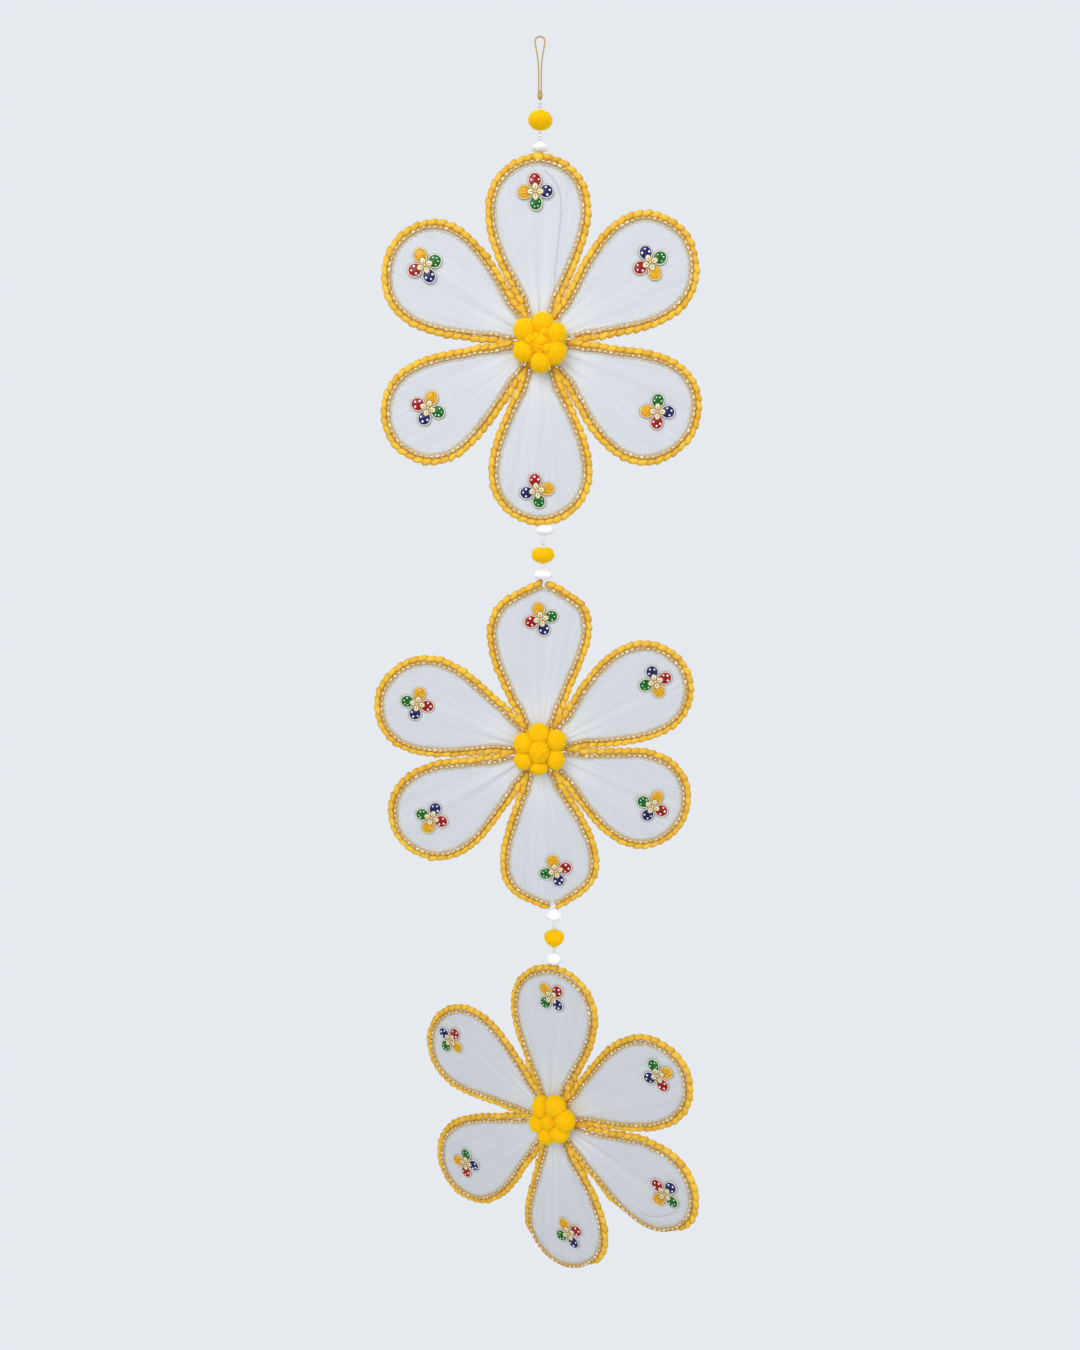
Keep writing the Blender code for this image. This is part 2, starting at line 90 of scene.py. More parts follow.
class Signal:
    """A node's output that can be used in arithmetic."""

    def __init__(self, graph: "Graph", socket: bpy.types.NodeSocket) -> None:
        """Wrap a socket of a graph."""
        self.graph = graph
        self.socket = socket

    def _math(self, operation: str, first: "Operand", second: "Operand") -> "Signal":
        """Return a Math node's result."""
        return self.graph.node("ShaderNodeMath", {"operation": operation}, {0: first, 1: second})

    def __add__(self, other: "Operand") -> "Signal":
        """Return the sum."""
        return self._math("ADD", self, other)

    def __radd__(self, other: "Operand") -> "Signal":
        """Return the sum with a number on the left."""
        return self._math("ADD", other, self)

    def __sub__(self, other: "Operand") -> "Signal":
        """Return the difference."""
        return self._math("SUBTRACT", self, other)

    def __rsub__(self, other: "Operand") -> "Signal":
        """Return the difference from a number."""
        return self._math("SUBTRACT", other, self)

    def __mul__(self, other: "Operand") -> "Signal":
        """Return the product."""
        return self._math("MULTIPLY", self, other)

    def __rmul__(self, other: "Operand") -> "Signal":
        """Return the product with a number on the left."""
        return self._math("MULTIPLY", other, self)

    def __pow__(self, other: "Operand") -> "Signal":
        """Return the power."""
        return self._math("POWER", self, other)

    def __rpow__(self, other: "Operand") -> "Signal":
        """Return a number raised to this."""
        return self._math("POWER", other, self)

    def size(self) -> "Signal":
        """Return the value without its sign."""
        return self._math("ABSOLUTE", self, 0.0)

    def clamped(self) -> "Signal":
        """Return the value held between 0 and 1."""
        return self.graph.node("ShaderNodeClamp", {}, {"Value": self})


Operand = Signal | float


class Graph:
    """The nodes of one material."""

    def __init__(self, name: str) -> None:
        """Start a material that has a Principled shader alone.

        Args:
            name: The material's name.
        """
        self.material = bpy.data.materials.new(name)
        self.material.use_nodes = True
        self.tree = self.material.node_tree
        self.shader = self.tree.nodes["Principled BSDF"]

    def feed(self, socket: bpy.types.NodeSocket, value: object) -> None:
        """Link a signal to a socket, or set its constant.

        Args:
            socket: The input.
            value: A signal, or the socket's constant.
        """
        if isinstance(value, Signal):
            self.tree.links.new(value.socket, socket)
        else:
            socket.default_value = value

    def node(self, kind: str, settings: dict, sockets: dict, output: int = 0) -> Signal:
        """Add one node.

        Args:
            kind: The node's type name.
            settings: Its properties; "stops" holds a ramp's (position, colour) pairs.
            sockets: Values or signals for its inputs, by name or number.
            output: Number of the output to return.

        Returns:
            The output as a signal.
        """
        made = self.tree.nodes.new(kind)
        for key, value in settings.items():
            if key != "stops":
                setattr(made, key, value)
                continue
            elements = made.color_ramp.elements
            for index, (position, colour) in enumerate(value):
                element = elements[index] if index < 2 else elements.new(position)
                element.position = position
                element.color = colour
        for key, value in sockets.items():
            self.feed(made.inputs[key], value)
        return Signal(self, made.outputs[output])

    def set(self, **sockets: object) -> None:
        """Set the shader's inputs; an underscore in a name stands for a space."""
        for key, value in sockets.items():
            self.feed(self.shader.inputs[key.replace("_", " ")], value)

    def mixed(self, factor: Operand, first: object, second: object) -> Signal:
        """Return a colour between two, by a factor."""
        sockets = {0: factor, 6: first, 7: second}
        return self.node("ShaderNodeMix", {"data_type": "RGBA"}, sockets, output=2)

    def attribute(self, name: str, output: int = 1) -> Signal:
        """Return a named attribute of the mesh: output 1 is its vector and 2 its number."""
        return self.node("ShaderNodeAttribute", {"attribute_name": name}, {}, output)

    def stretched(self, vector: Signal, scale: Triple) -> Signal:
        """Return coordinates scaled along each axis."""
        return self.node("ShaderNodeMapping", {}, {"Vector": vector, "Scale": scale})

    def place(self) -> Signal:
        """Return the object coordinates."""
        return self.node("ShaderNodeTexCoord", {}, {}, output=3)

    def uv(self, name: str) -> Signal:
        """Return one UV map of the piece."""
        return self.node("ShaderNodeUVMap", {"uv_map": name}, {})

    def parts(self, vector: Signal) -> tuple[Signal, Signal, Signal]:
        """Split a vector.

        Args:
            vector: The vector.

        Returns:
            Its three numbers.
        """
        split = self.node("ShaderNodeSeparateXYZ", {}, {"Vector": vector})
        outputs = split.socket.node.outputs
        return Signal(self, outputs[0]), Signal(self, outputs[1]), Signal(self, outputs[2])

    def noise(self, vector: Signal, scale: float, detail: float = 2.0) -> Signal:
        """Return smooth noise from 0 to 1."""
        sockets = {"Vector": vector, "Scale": scale, "Detail": detail}
        return self.node("ShaderNodeTexNoise", {}, sockets)

    def bump(self, height: Operand, distance: float, strength: float = 1.0) -> None:
        """Raise the surface by a height signal."""
        sockets = {"Height": height, "Distance": distance, "Strength": strength}
        self.set(Normal=self.node("ShaderNodeBump", {}, sockets))


class Finish:
    """A surface finish, made into a material the first time that it is asked for."""

    name: str

    def dress(self, graph: Graph) -> None:
        """Build the finish's nodes; each finish has its own."""
        raise NotImplementedError

    def material(self) -> bpy.types.Material:
        """Find or make the finish's material.

        Returns:
            The material.
        """
        found = bpy.data.materials.get(self.name)
        if found is None:
            graph = Graph(self.name)
            self.dress(graph)
            found = graph.material
        return found


@dataclass(frozen=True)
class NetFinish(Finish):
    """Sheer white net, gathered towards the flower's middle."""

    name: str = "sheer_net"
    colour: tuple = srgb(223, 225, 228)
    # The darker colour is painted shade between the net's folds.
    shade: tuple = srgb(199, 203, 208)
    thread_pitch: float = 0.9 * MM
    openness: float = 0.62
    gathered: float = 0.92
    roughness: float = 0.7
    sheen: float = 0.2
    wide_folds: tuple = (14.0, 5.0, 1.0)
    wide_weight: float = 0.45
    fine_folds: tuple = (60.0, 9.0, 1.0)
    fine_detail: float = 0.6
    fine_weight: float = 0.3
    streaks: tuple = (28.0, 420.0, 1.0)
    streak_detail: float = 0.3
    streak_weight: float = 0.16
    fold_lift: float = 0.05
    fold_cover: float = 0.25
    thread_cover: float = 0.012
    base_from: float = 22.0 * MM
    base_to: float = 75.0 * MM
    base_cover: float = 0.5
    base_light: float = 0.35
    contrast: float = 1.4
    darkening: float = 0.2
    fold_height: float = 0.3 * MM
    fold_strength: float = 0.5

    def dress(self, graph: Graph) -> None:
        """Build threads both ways, folds that fan out from the base with painted light on their ridges and
        painted shade between them, and denser, lighter cloth near the base.

        Args:
            graph: The material's nodes.
        """
        along, across, _ = graph.parts(graph.uv("cloth"))
        turn = math.tau / self.thread_pitch
        threads = 0.0
        for way in (along, across):
            wave = graph.node("ShaderNodeMath", {"operation": "SINE"}, {0: way * turn})
            threads = (wave * 0.5 + 0.5) ** 2.0 + threads
        fan = graph.uv("gather")
        _, radius, _ = graph.parts(fan)
        wide = graph.noise(graph.stretched(fan, self.wide_folds), 1.0)
        fine = graph.noise(graph.stretched(fan, self.fine_folds), 1.0, self.fine_detail)
        streaks = graph.noise(graph.stretched(graph.uv("cloth"), self.streaks), 1.0, self.streak_detail)
        folds = wide * self.wide_weight + fine * self.fine_weight + streaks * self.streak_weight
        folds = (folds + self.fold_lift).clamped()
        sockets = {"Value": radius, 1: self.base_from, 2: self.base_to, 3: 1.0, 4: 0.0}
        base = graph.node("ShaderNodeMapRange", {"interpolation_type": "SMOOTHSTEP"}, sockets)
        cover = self.openness + folds * self.fold_cover + threads * self.thread_cover
        cover = cover + base * (self.gathered - self.openness) * self.base_cover
        # Painted light and shade of the folds: ridges mix towards the lighter colour, the cloth between them
        # towards the darker one; the cloth is also lighter near the base.
        light = (folds * self.contrast - self.darkening + base * self.base_light).clamped()
        graph.set(
            Base_Color=graph.mixed(light, self.shade, self.colour),
            Alpha=cover.clamped(),
            Roughness=self.roughness,
            Sheen_Weight=self.sheen,
        )
        graph.bump(folds, self.fold_height, self.fold_strength)


@dataclass(frozen=True)
class WoolFinish(Finish):
    """Soft spun yarn whose threads run along each lump."""

    name: str
    lit: tuple
    deep: tuple
    roughness: float = 0.75
    gloss: float = 0.25
    threads: tuple = (1.6, 9.0, 9.0)
    thread_detail: float = 3.0
    thread_weight: float = 0.55
    shade_weight: float = 0.55
    tied_and_gap_shade_weight: float = 0.75
    lift: float = 0.1
    thread_height: float = 0.35 * MM
    thread_strength: float = 0.6

    def dress(self, graph: Graph) -> None:
        """Build threads along the lump, darker towards its ends for the binding and for painted shade in the
        gaps between lumps, and a shade of its own.

        Args:
            graph: The material's nodes.
        """
        grain = graph.attribute("grain")
        along, _, _ = graph.parts(grain)
        threads = graph.noise(graph.stretched(grain, self.threads), 1.0, self.thread_detail)
        # The ends are darkened for the binding and with painted shade for the gaps between lumps.
        tied = (along.size() ** 3.0).clamped()
        shade = graph.attribute("shade", 2)
        light = threads * self.thread_weight + shade * self.shade_weight - tied * self.tied_and_gap_shade_weight
        graph.set(
            Base_Color=graph.mixed((light + self.lift).clamped(), self.deep, self.lit),
            Roughness=self.roughness,
            Specular_IOR_Level=self.gloss,
        )
        graph.bump(threads, self.thread_height, self.thread_strength)


@dataclass(frozen=True)
class PileFinish(Finish):
    """Pile of a pompom: painted shade makes it dark at the roots and light at the tips, and a painted glow
    stands for light passing through it.
    """

    name: str
    tip: tuple
    root: tuple
    glow: float
    tuft_scale: float = 420.0
    tuft_weight: float = 0.5
    height_weight: float = 0.62
    shade_weight: float = 0.3
    darkening: float = 0.12
    roughness: float = 0.95
    gloss: float = 0.1
    sheen: float = 0.2
    sheen_roughness: float = 0.6

    def dress(self, graph: Graph) -> None:
        """Build a root to tip blend of painted shade, darker at the roots, with tufts of slightly other
        shades.

        Args:
            graph: The material's nodes.
        """
        _, _, height = graph.parts(graph.attribute("grain"))
        shade = graph.attribute("shade", 2)
        tufts = graph.noise(graph.place(), self.tuft_scale)
        # Painted shade: darker towards the fibres' roots, and on the ball's skin darker in its creases.
        light = height * self.height_weight + shade * self.shade_weight + tufts * self.tuft_weight
        graph.set(
            Base_Color=graph.mixed((light - self.darkening).clamped(), self.root, self.tip),
            Roughness=self.roughness,
            Specular_IOR_Level=self.gloss,
            Sheen_Weight=self.sheen,
            Sheen_Roughness=self.sheen_roughness,
            Sheen_Tint=self.tip,
            # Painted glow: emission in the tip colour lifts the pile out of its shade.
            Emission_Color=self.tip,
            Emission_Strength=self.glow,
        )


@dataclass(frozen=True)
class GiltFinish(Finish):
    """Metallic thread or a metallised bead, with painted glints."""

    name: str
    bright: tuple
    dull: tuple
    metallic: float
    roughness: float
    glint_scale: float = 1500.0
    glint_weight: float = 1.6
    shade_weight: float = 0.6
    darkening: float = 0.65
    dullness: float = 0.25
    glint_height: float = 0.15 * MM
    glint_strength: float = 0.5

    def dress(self, graph: Graph) -> None:
        """Build painted glints, specks of the bright colour over the dull one, and an uneven gloss.

        Args:
            graph: The material's nodes.
        """
        glint_specks = graph.noise(graph.place(), self.glint_scale)
        shade = graph.attribute("shade", 2)
        # Painted glints: noise specks and each copy's own tone mix the colour towards the bright one.
        light = (glint_specks * self.glint_weight + shade * self.shade_weight - self.darkening).clamped()
        graph.set(
            Base_Color=graph.mixed(light, self.dull, self.bright),
            Metallic=self.metallic,
            Roughness=(self.roughness + self.dullness - light * self.dullness).clamped(),
        )
        graph.bump(glint_specks, self.glint_height, self.glint_strength)


@dataclass(frozen=True)
class EnamelFinish(Finish):
    """Glossy coloured foil under clear resin."""

    name: str
    colour: tuple
    fleck: tuple
    mottle_scale: float = 900.0
    mottle_detail: float = 3.0
    fleck_contrast: float = 3.2
    roughness: float = 0.3
    gloss: float = 0.2
    coat: float = 0.15
    coat_roughness: float = 0.05
    foil_height: float = 0.2 * MM
    foil_strength: float = 0.35

    def dress(self, graph: Graph) -> None:
        """Build a coloured foil with lighter flecks under a glossy coat.

        Args:
            graph: The material's nodes.
        """
        cloud = graph.noise(graph.place(), self.mottle_scale, self.mottle_detail)
        flecks = ((cloud - 0.5) * self.fleck_contrast).clamped()
        graph.set(
            Base_Color=graph.mixed(flecks, self.colour, self.fleck),
            Roughness=self.roughness,
            Specular_IOR_Level=self.gloss,
            Coat_Weight=self.coat,
            Coat_Roughness=self.coat_roughness,
        )
        graph.bump(cloud, self.foil_height, self.foil_strength)


@dataclass(frozen=True)
class GlazedFinish(Finish):
    """A smooth glossy surface: a bead, a stone, cream enamel or nylon thread."""

    name: str
    colour: tuple
    shade: tuple
    roughness: float
    cloud_scale: float = 700.0
    cloud_weight: float = 0.15
    coat: float = 0.8
    coat_roughness: float = 0.05

    def dress(self, graph: Graph) -> None:
        """Build a faintly clouded colour under a clear coat.

        Args:
            graph: The material's nodes.
        """
        cloud = graph.noise(graph.place(), self.cloud_scale)
        graph.set(
            Base_Color=graph.mixed(cloud, self.shade, self.colour),
            Roughness=(cloud * self.cloud_weight + self.roughness).clamped(),
            Coat_Weight=self.coat,
            Coat_Roughness=self.coat_roughness,
        )


@dataclass(frozen=True)
class PaperFinish(Finish):
    """A plain matt surface: the studio floor or a motif's backing."""

    name: str
    colour: tuple
    shade: tuple = srgb(226, 230, 234)
    mottle_scale: float = 3.0
    mottle_weight: float = 0.1
    roughness: float = 0.95

    def dress(self, graph: Graph) -> None:
        """Build a matt pale surface with the faintest mottling."""
        cloud = graph.noise(graph.place(), self.mottle_scale) * self.mottle_weight
        graph.set(Base_Color=graph.mixed(cloud, self.colour, self.shade), Roughness=self.roughness)


NET = NetFinish()
WOOL = WoolFinish("yellow_lump_yarn", srgb(245, 200, 66), srgb(202, 144, 34))
# The core yarn's darker colour is painted shade that fills the gaps between the lumps.
WOOL_CORE_GAP_SHADE = WoolFinish("yellow_core_yarn_gap_shade", srgb(214, 158, 52), srgb(184, 128, 34))
# Pompom pile: the darker root colour is painted shade, and the last number is the strength of a painted
# glow.
YELLOW_PILE = PileFinish("yellow_pile", srgb(255, 222, 22), srgb(255, 200, 8), 0.2)
YELLOW_BALL = PileFinish("yellow_pile_roots", srgb(254, 206, 10), srgb(206, 132, 8), 0.1)
WHITE_PILE = PileFinish("white_pile", srgb(246, 247, 249), srgb(238, 240, 243), 0.17)
WHITE_BALL = PileFinish("white_pile_roots", srgb(246, 247, 249), srgb(230, 233, 237), 0.1)
# In each gilt finish the bright colour is mixed in as painted glints.
GILT_TWIST = GiltFinish("gilt_twist", srgb(232, 180, 78), srgb(166, 116, 40), 0.2, 0.35)
GILT_BAND = GiltFinish("gilt_band", srgb(232, 194, 112), srgb(180, 138, 66), 0.2, 0.4)
GILT_SPARK = GiltFinish("gilt_spark", srgb(255, 246, 214), srgb(198, 154, 80), 0.05, 0.16)
GILT_PICOT = GiltFinish("gilt_picot", srgb(250, 228, 166), srgb(212, 180, 110), 0.0, 0.4)
GOLD_CORD = GiltFinish("gold_cord_thread", srgb(218, 192, 124), srgb(154, 126, 70), 0.4, 0.36)
# The clear bead's darker grey, clouded in at random, is painted shade standing for the grey that clear glass
# shows.
CLEAR_BEAD = GlazedFinish("clear_bead", srgb(240, 243, 243), srgb(176, 186, 190), 0.08)
PEARL_BEAD = GlazedFinish("pearl_bead", srgb(255, 253, 247), srgb(222, 212, 190), 0.15)
THREAD = GlazedFinish("nylon_thread", srgb(238, 240, 240), srgb(220, 222, 222), 0.35)
STONE = GlazedFinish("white_stone", srgb(255, 255, 255), srgb(240, 243, 250), 0.1)
CREAM = GlazedFinish("cream_enamel", srgb(240, 232, 200), srgb(216, 200, 148), 0.35)
OUTLINE = GiltFinish("brown_outline", srgb(206, 170, 120), srgb(142, 108, 70), 0.4, 0.4)
TONGUE_EDGE = GiltFinish("tongue_edge", srgb(186, 150, 76), srgb(112, 86, 36), 0.2, 0.4)
PULLED = GlazedFinish("pulled_thread", srgb(176, 180, 186), srgb(146, 150, 156), 0.5)
FELT = PaperFinish("motif_backing", srgb(240, 236, 226))
FLOOR = PaperFinish("studio_floor", srgb(236, 239, 242))


@dataclass(frozen=True)
class Shape:
    """A small mesh kept as arrays, ready to be copied many times."""

    points: np.ndarray
    triangles: np.ndarray
    grain: np.ndarray

    @staticmethod
    def of(bm: bmesh.types.BMesh, grain: np.ndarray | None = None) -> "Shape":
        """Keep a bmesh as arrays and free it.

        Args:
            bm: The mesh; it is triangulated first.
            grain: Coordinates for the finish, or None to use the points themselves.

        Returns:
            The shape.
        """
        bmesh.ops.triangulate(bm, faces=bm.faces[:])
        bm.verts.index_update()
        points = np.array([vert.co[:] for vert in bm.verts])
        triangles = np.array([[vert.index for vert in face.verts] for face in bm.faces])
        bm.free()
        return Shape(points, triangles, points if grain is None else grain)


def ball_shape(around: int, up: int) -> Shape:
    """Make a unit ball whose poles lie on X.

    Args:
        around: Faces around it.
        up: Faces from pole to pole.

    Returns:
        The ball.
    """
    bm = bmesh.new()
    bmesh.ops.create_uvsphere(bm, u_segments=around, v_segments=up, radius=1.0)
    bmesh.ops.rotate(bm, verts=bm.verts, matrix=Matrix.Rotation(math.pi / 2, 3, "Y"))
    return Shape.of(bm)


def lump_shape(around: int, up: int) -> Shape:
    """Make a lump of yarn along X: a unit ball with blunter ends.

    Args:
        around: Faces around it.
        up: Faces from end to end.

    Returns:
        The lump.
    """
    ball = ball_shape(around, up)
    along = ball.points[:, :1]
    thinnest, bluntness = 0.05, 0.14
    fuller = np.maximum(1 - along**2, thinnest) ** -bluntness
    points = np.concatenate([along, ball.points[:, 1:] * fuller], axis=1)
    return Shape(points, ball.triangles, points)


def round_ball_shape(divisions: int) -> Shape:
    """Make a unit ball of even triangles.

    Args:
        divisions: Blender's level of subdivision.

    Returns:
        The ball.
    """
    bm = bmesh.new()
    bmesh.ops.create_icosphere(bm, subdivisions=divisions, radius=1.0)
    return Shape.of(bm)


def fibre_shape(width: float) -> Shape:
    """Make one tapering fibre along Z, from 0 to 1.

    Args:
        width: Radius at its root.

    Returns:
        The fibre.
    """
    bm = bmesh.new()
    bmesh.ops.create_cone(bm, cap_ends=False, segments=3, radius1=width, radius2=0.0, depth=1.0)
    bmesh.ops.translate(bm, verts=bm.verts, vec=(0.0, 0.0, 0.5))
    return Shape.of(bm)


def ring_shape(thickness: float, steps: int, sides: int, sweep: float = math.tau) -> Shape:
    """Make a round-edged ring of radius 1 in the XZ plane.

    Args:
        thickness: Radius of its section.
        steps: Number of lengths that the ring is made of.
        sides: Number of sides of its section.
        sweep: Angle that the ring covers, centred on +Z.

    Returns:
        The ring, closed when sweep is a full turn.
    """
    bm = bmesh.new()
    made = bmesh.ops.create_circle(bm, segments=sides, radius=thickness)
    bmesh.ops.translate(bm, verts=made["verts"], vec=(1.0, 0.0, 0.0))
    start = Matrix.Rotation(-(math.pi / 2 - sweep / 2), 3, "Y")
    bmesh.ops.rotate(bm, verts=bm.verts, cent=(0.0, 0.0, 0.0), matrix=start)
    bmesh.ops.spin(
        bm, geom=bm.verts[:] + bm.edges[:], cent=(0.0, 0.0, 0.0), axis=(0.0, 1.0, 0.0),
        angle=-sweep, steps=steps, use_merge=sweep >= math.tau,
    )
    bmesh.ops.recalc_face_normals(bm, faces=bm.faces)
    return Shape.of(bm)


def bent_grid(columns: int, rows: int, bend: Callable, welded: bool) -> Shape:
    """Bend a flat grid to a surface.

    Args:
        columns: Number of faces across.
        rows: Number of faces along.
        bend: Function that turns arrays of across and along, from 0 to 1, into points.
        welded: Whether edges that meet are joined.

    Returns:
        The surface, whose grain is (across, along, 0).
    """
    bm = bmesh.new()
    bmesh.ops.create_grid(bm, x_segments=columns, y_segments=rows, size=0.5)
    across = np.array([vert.co.x + 0.5 for vert in bm.verts])
    along = np.array([vert.co.y + 0.5 for vert in bm.verts])
    layer = bm.verts.layers.float_vector.new("grain")
    for vert, spot, u, v in zip(bm.verts, bend(across, along), across, along):
        vert.co = spot
        vert[layer] = (u, v, 0.0)
    if welded:
        bmesh.ops.remove_doubles(bm, verts=bm.verts[:], dist=0.001 * MM)
        bmesh.ops.recalc_face_normals(bm, faces=bm.faces)
    grain = np.array([vert[layer][:] for vert in bm.verts])
    return Shape.of(bm, grain)


def spots(origins: np.ndarray, x_axis: np.ndarray, y_axis: np.ndarray, z_axis: np.ndarray) -> np.ndarray:
    """Return 3 by 4 matrices that put copies at origins with these axes, one for each row."""
    return np.stack([x_axis, y_axis, z_axis, origins], axis=2)


ONCE = spots(np.zeros((1, 3)), np.eye(3)[:1], np.eye(3)[1:2], np.eye(3)[2:])


class Piece:
    """A piece of the hanging: shapes copied into one mesh, each with its finish."""

    def __init__(self, name: str) -> None:
        """Start an empty piece.

        Args:
            name: Name that its object gets.
        """
        self.name = name
        self.finishes: list[Finish] = []
        self.points: list[np.ndarray] = []
        self.grain: list[np.ndarray] = []
        self.shade: list[np.ndarray] = []
        self.triangles: list[np.ndarray] = []
        self.finish_of: list[np.ndarray] = []
        self.count = 0

    def add(
        self, shape: Shape, places: np.ndarray, finish: Finish, shade: np.ndarray | None = None
    ) -> None:
        """Add copies of a shape.

        Args:
            shape: The shape to copy.
            places: A 3 by 4 matrix for each copy.
            finish: The copies' finish.
            shade: A number from 0 to 1 for each copy, or None for 0.5.
        """
        copies = len(places)
        moved = np.einsum("nij,vj->nvi", places[:, :, :3], shape.points) + places[:, None, :, 3]
        mirrored = np.linalg.det(places[:, :, :3]) < 0
        starts = self.count + np.arange(copies)[:, None, None] * len(shape.points)
        triangles = np.broadcast_to(shape.triangles, (copies, *shape.triangles.shape)).copy()
        triangles[mirrored] = triangles[mirrored][:, :, ::-1]
        if finish not in self.finishes:
            self.finishes.append(finish)
        shade = np.full(copies, 0.5) if shade is None else shade
        self.points.append(moved.reshape(-1, 3))
        self.grain.append(np.tile(shape.grain, (copies, 1)))
        self.shade.append(np.repeat(shade, len(shape.points)))
        self.triangles.append((triangles + starts).reshape(-1, 3))
        self.finish_of.append(np.full(copies * len(shape.triangles), self.finishes.index(finish)))
        self.count += copies * len(shape.points)

    def build(self, place: Matrix, slot: str, nodes: tuple[str, ...]) -> bpy.types.Object:
        """Make the object, ride it on the hanging and let it stand for its nodes.

        Args:
            place: Matrix from the piece's own frame to the hanging's.
            slot: The record's material slot; not used.
            nodes: Names of the nodes that it stands for.

        Returns:
            The object.
        """
        points = np.concatenate(self.points).astype(np.float32)
        triangles = np.concatenate(self.triangles).astype(np.int32)
        mesh = bpy.data.meshes.new(self.name)
        mesh.vertices.add(len(points))
        mesh.vertices.foreach_set("co", points.ravel())
        mesh.loops.add(triangles.size)
        mesh.loops.foreach_set("vertex_index", triangles.ravel())
        mesh.polygons.add(len(triangles))
        mesh.polygons.foreach_set("loop_start", np.arange(len(triangles), dtype=np.int32) * 3)
        mesh.polygons.foreach_set("material_index", np.concatenate(self.finish_of).astype(np.int32))
        mesh.update(calc_edges=True)
        grain = mesh.attributes.new("grain", "FLOAT_VECTOR", "POINT")
        grain.data.foreach_set("vector", np.concatenate(self.grain).astype(np.float32).ravel())
        shade = mesh.attributes.new("shade", "FLOAT", "POINT")
        shade.data.foreach_set("value", np.concatenate(self.shade).astype(np.float32))
        for finish in self.finishes:
            mesh.materials.append(finish.material())
        mesh.transform(place)
        mesh.shade_smooth()
        thing = bpy.data.objects.new(self.name, mesh)
        settle(thing, nodes)
        LOG.info("%s: %d triangles", self.name, len(triangles))
        return thing


def settle(thing: bpy.types.Object, nodes: tuple[str, ...]) -> None:
    """Link an object, ride it on the hanging and let it stand for its nodes.

    Args:
        thing: The finished object.
        nodes: Names of the nodes that it stands for, if any.
    """
    bpy.context.scene.collection.objects.link(thing)
    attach(thing, BODY)
    if nodes:
        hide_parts(*nodes)


def eased(value: np.ndarray, start: float, end: float) -> np.ndarray:
    """Return shares that rise smoothly from 0 at start to 1 at end."""
    share = np.clip((value - start) / (end - start), 0.0, 1.0)
    return share * share * (3 - 2 * share)


def unit(vectors: np.ndarray) -> np.ndarray:
    """Return rows of vectors at length 1."""
    return vectors / np.linalg.norm(vectors, axis=-1, keepdims=True)


def heading(angle: float) -> np.ndarray:
    """Return the unit vector at an angle in a flower's plane."""
    return np.array([math.cos(angle), math.sin(angle)])


def standing(flat: np.ndarray, depth: float | np.ndarray) -> np.ndarray:
    """Return points or vectors of a flower's plane as (x, depth, z)."""
    return np.stack([flat[:, 0], np.broadcast_to(depth, len(flat)), flat[:, 1]], axis=1)


@dataclass(frozen=True)
class Walk:
    """Places at equal steps along a path in a flower's plane."""

    spots: np.ndarray
    along: np.ndarray

    @staticmethod
    def down(path: np.ndarray, pitch: float, ends: bool = True) -> "Walk":
        """Walk along a path.

        Args:
            path: Rows of (across, up).
            pitch: Wished step; it is stretched to fit the path a whole number of times.
            ends: Whether places lie on both ends, or else in the middle of each step.

        Returns:
            The places and the directions there.
        """
        lengths = np.linalg.norm(np.diff(path, axis=0), axis=1)
        reach = np.concatenate([[0.0], np.cumsum(lengths)])
        steps = max(1, round(reach[-1] / pitch))
        shift = 0.0 if ends else 0.5
        at = (np.arange(steps + (1 if ends else 0)) + shift) * reach[-1] / steps
        nudges_a_step = 20
        nudge = min(pitch, reach[-1]) / nudges_a_step
        here, fore, aft = (
            np.stack([np.interp(at + move, reach, path[:, axis]) for axis in range(path.shape[1])], axis=1)
            for move in (0.0, nudge, -nudge)
        )
        return Walk(here, unit(fore - aft))

    def aside(self) -> np.ndarray:
        """Return the directions to the left of the walk."""
        return np.stack([-self.along[:, 1], self.along[:, 0]], axis=1)


class Winding(Enum):
    """Order of a motif's lobes, counter-clockwise from the red one."""

    AMBER_FIRST = ("red", "amber", "green", "blue")
    BLUE_FIRST = ("red", "blue", "green", "amber")


@dataclass(frozen=True)
class Motif:
    """Where an enamelled motif lies on its flower."""

    across_mm: float
    up_mm: float
    turn_deg: float
    winding: Winding


@dataclass(frozen=True)
class Roll:
    """A stretch of a petal's braid rolled behind the net; start and end are shares of the row."""

    start: float = 0.0
    end: float = 0.0
    amount: float = 0.0
    softness: float = 0.11

    def shares(self, steps: int) -> np.ndarray:
        """Work out how far the braid is rolled back along the row.

        Args:
            steps: Number of even steps.

        Returns:
            A share for each step.
        """
        along = np.linspace(0.0, 1.0, steps)
        rise = eased(along, self.start, self.start + self.softness)
        fall = eased(along, self.end - self.softness, self.end)
        return self.amount * rise * (1 - fall)


@dataclass(frozen=True)
class Petal:
    """One petal's open net, inside its braid, and the motif on it."""

    where: str
    turn_deg: float
    length_mm: float
    half_width_mm: float
    bow_mm: float
    motif: Motif
    pinch: float = 0.0
    tip_gap_mm: float = 0.0
    tied: bool = False
    roll: Roll = Roll()


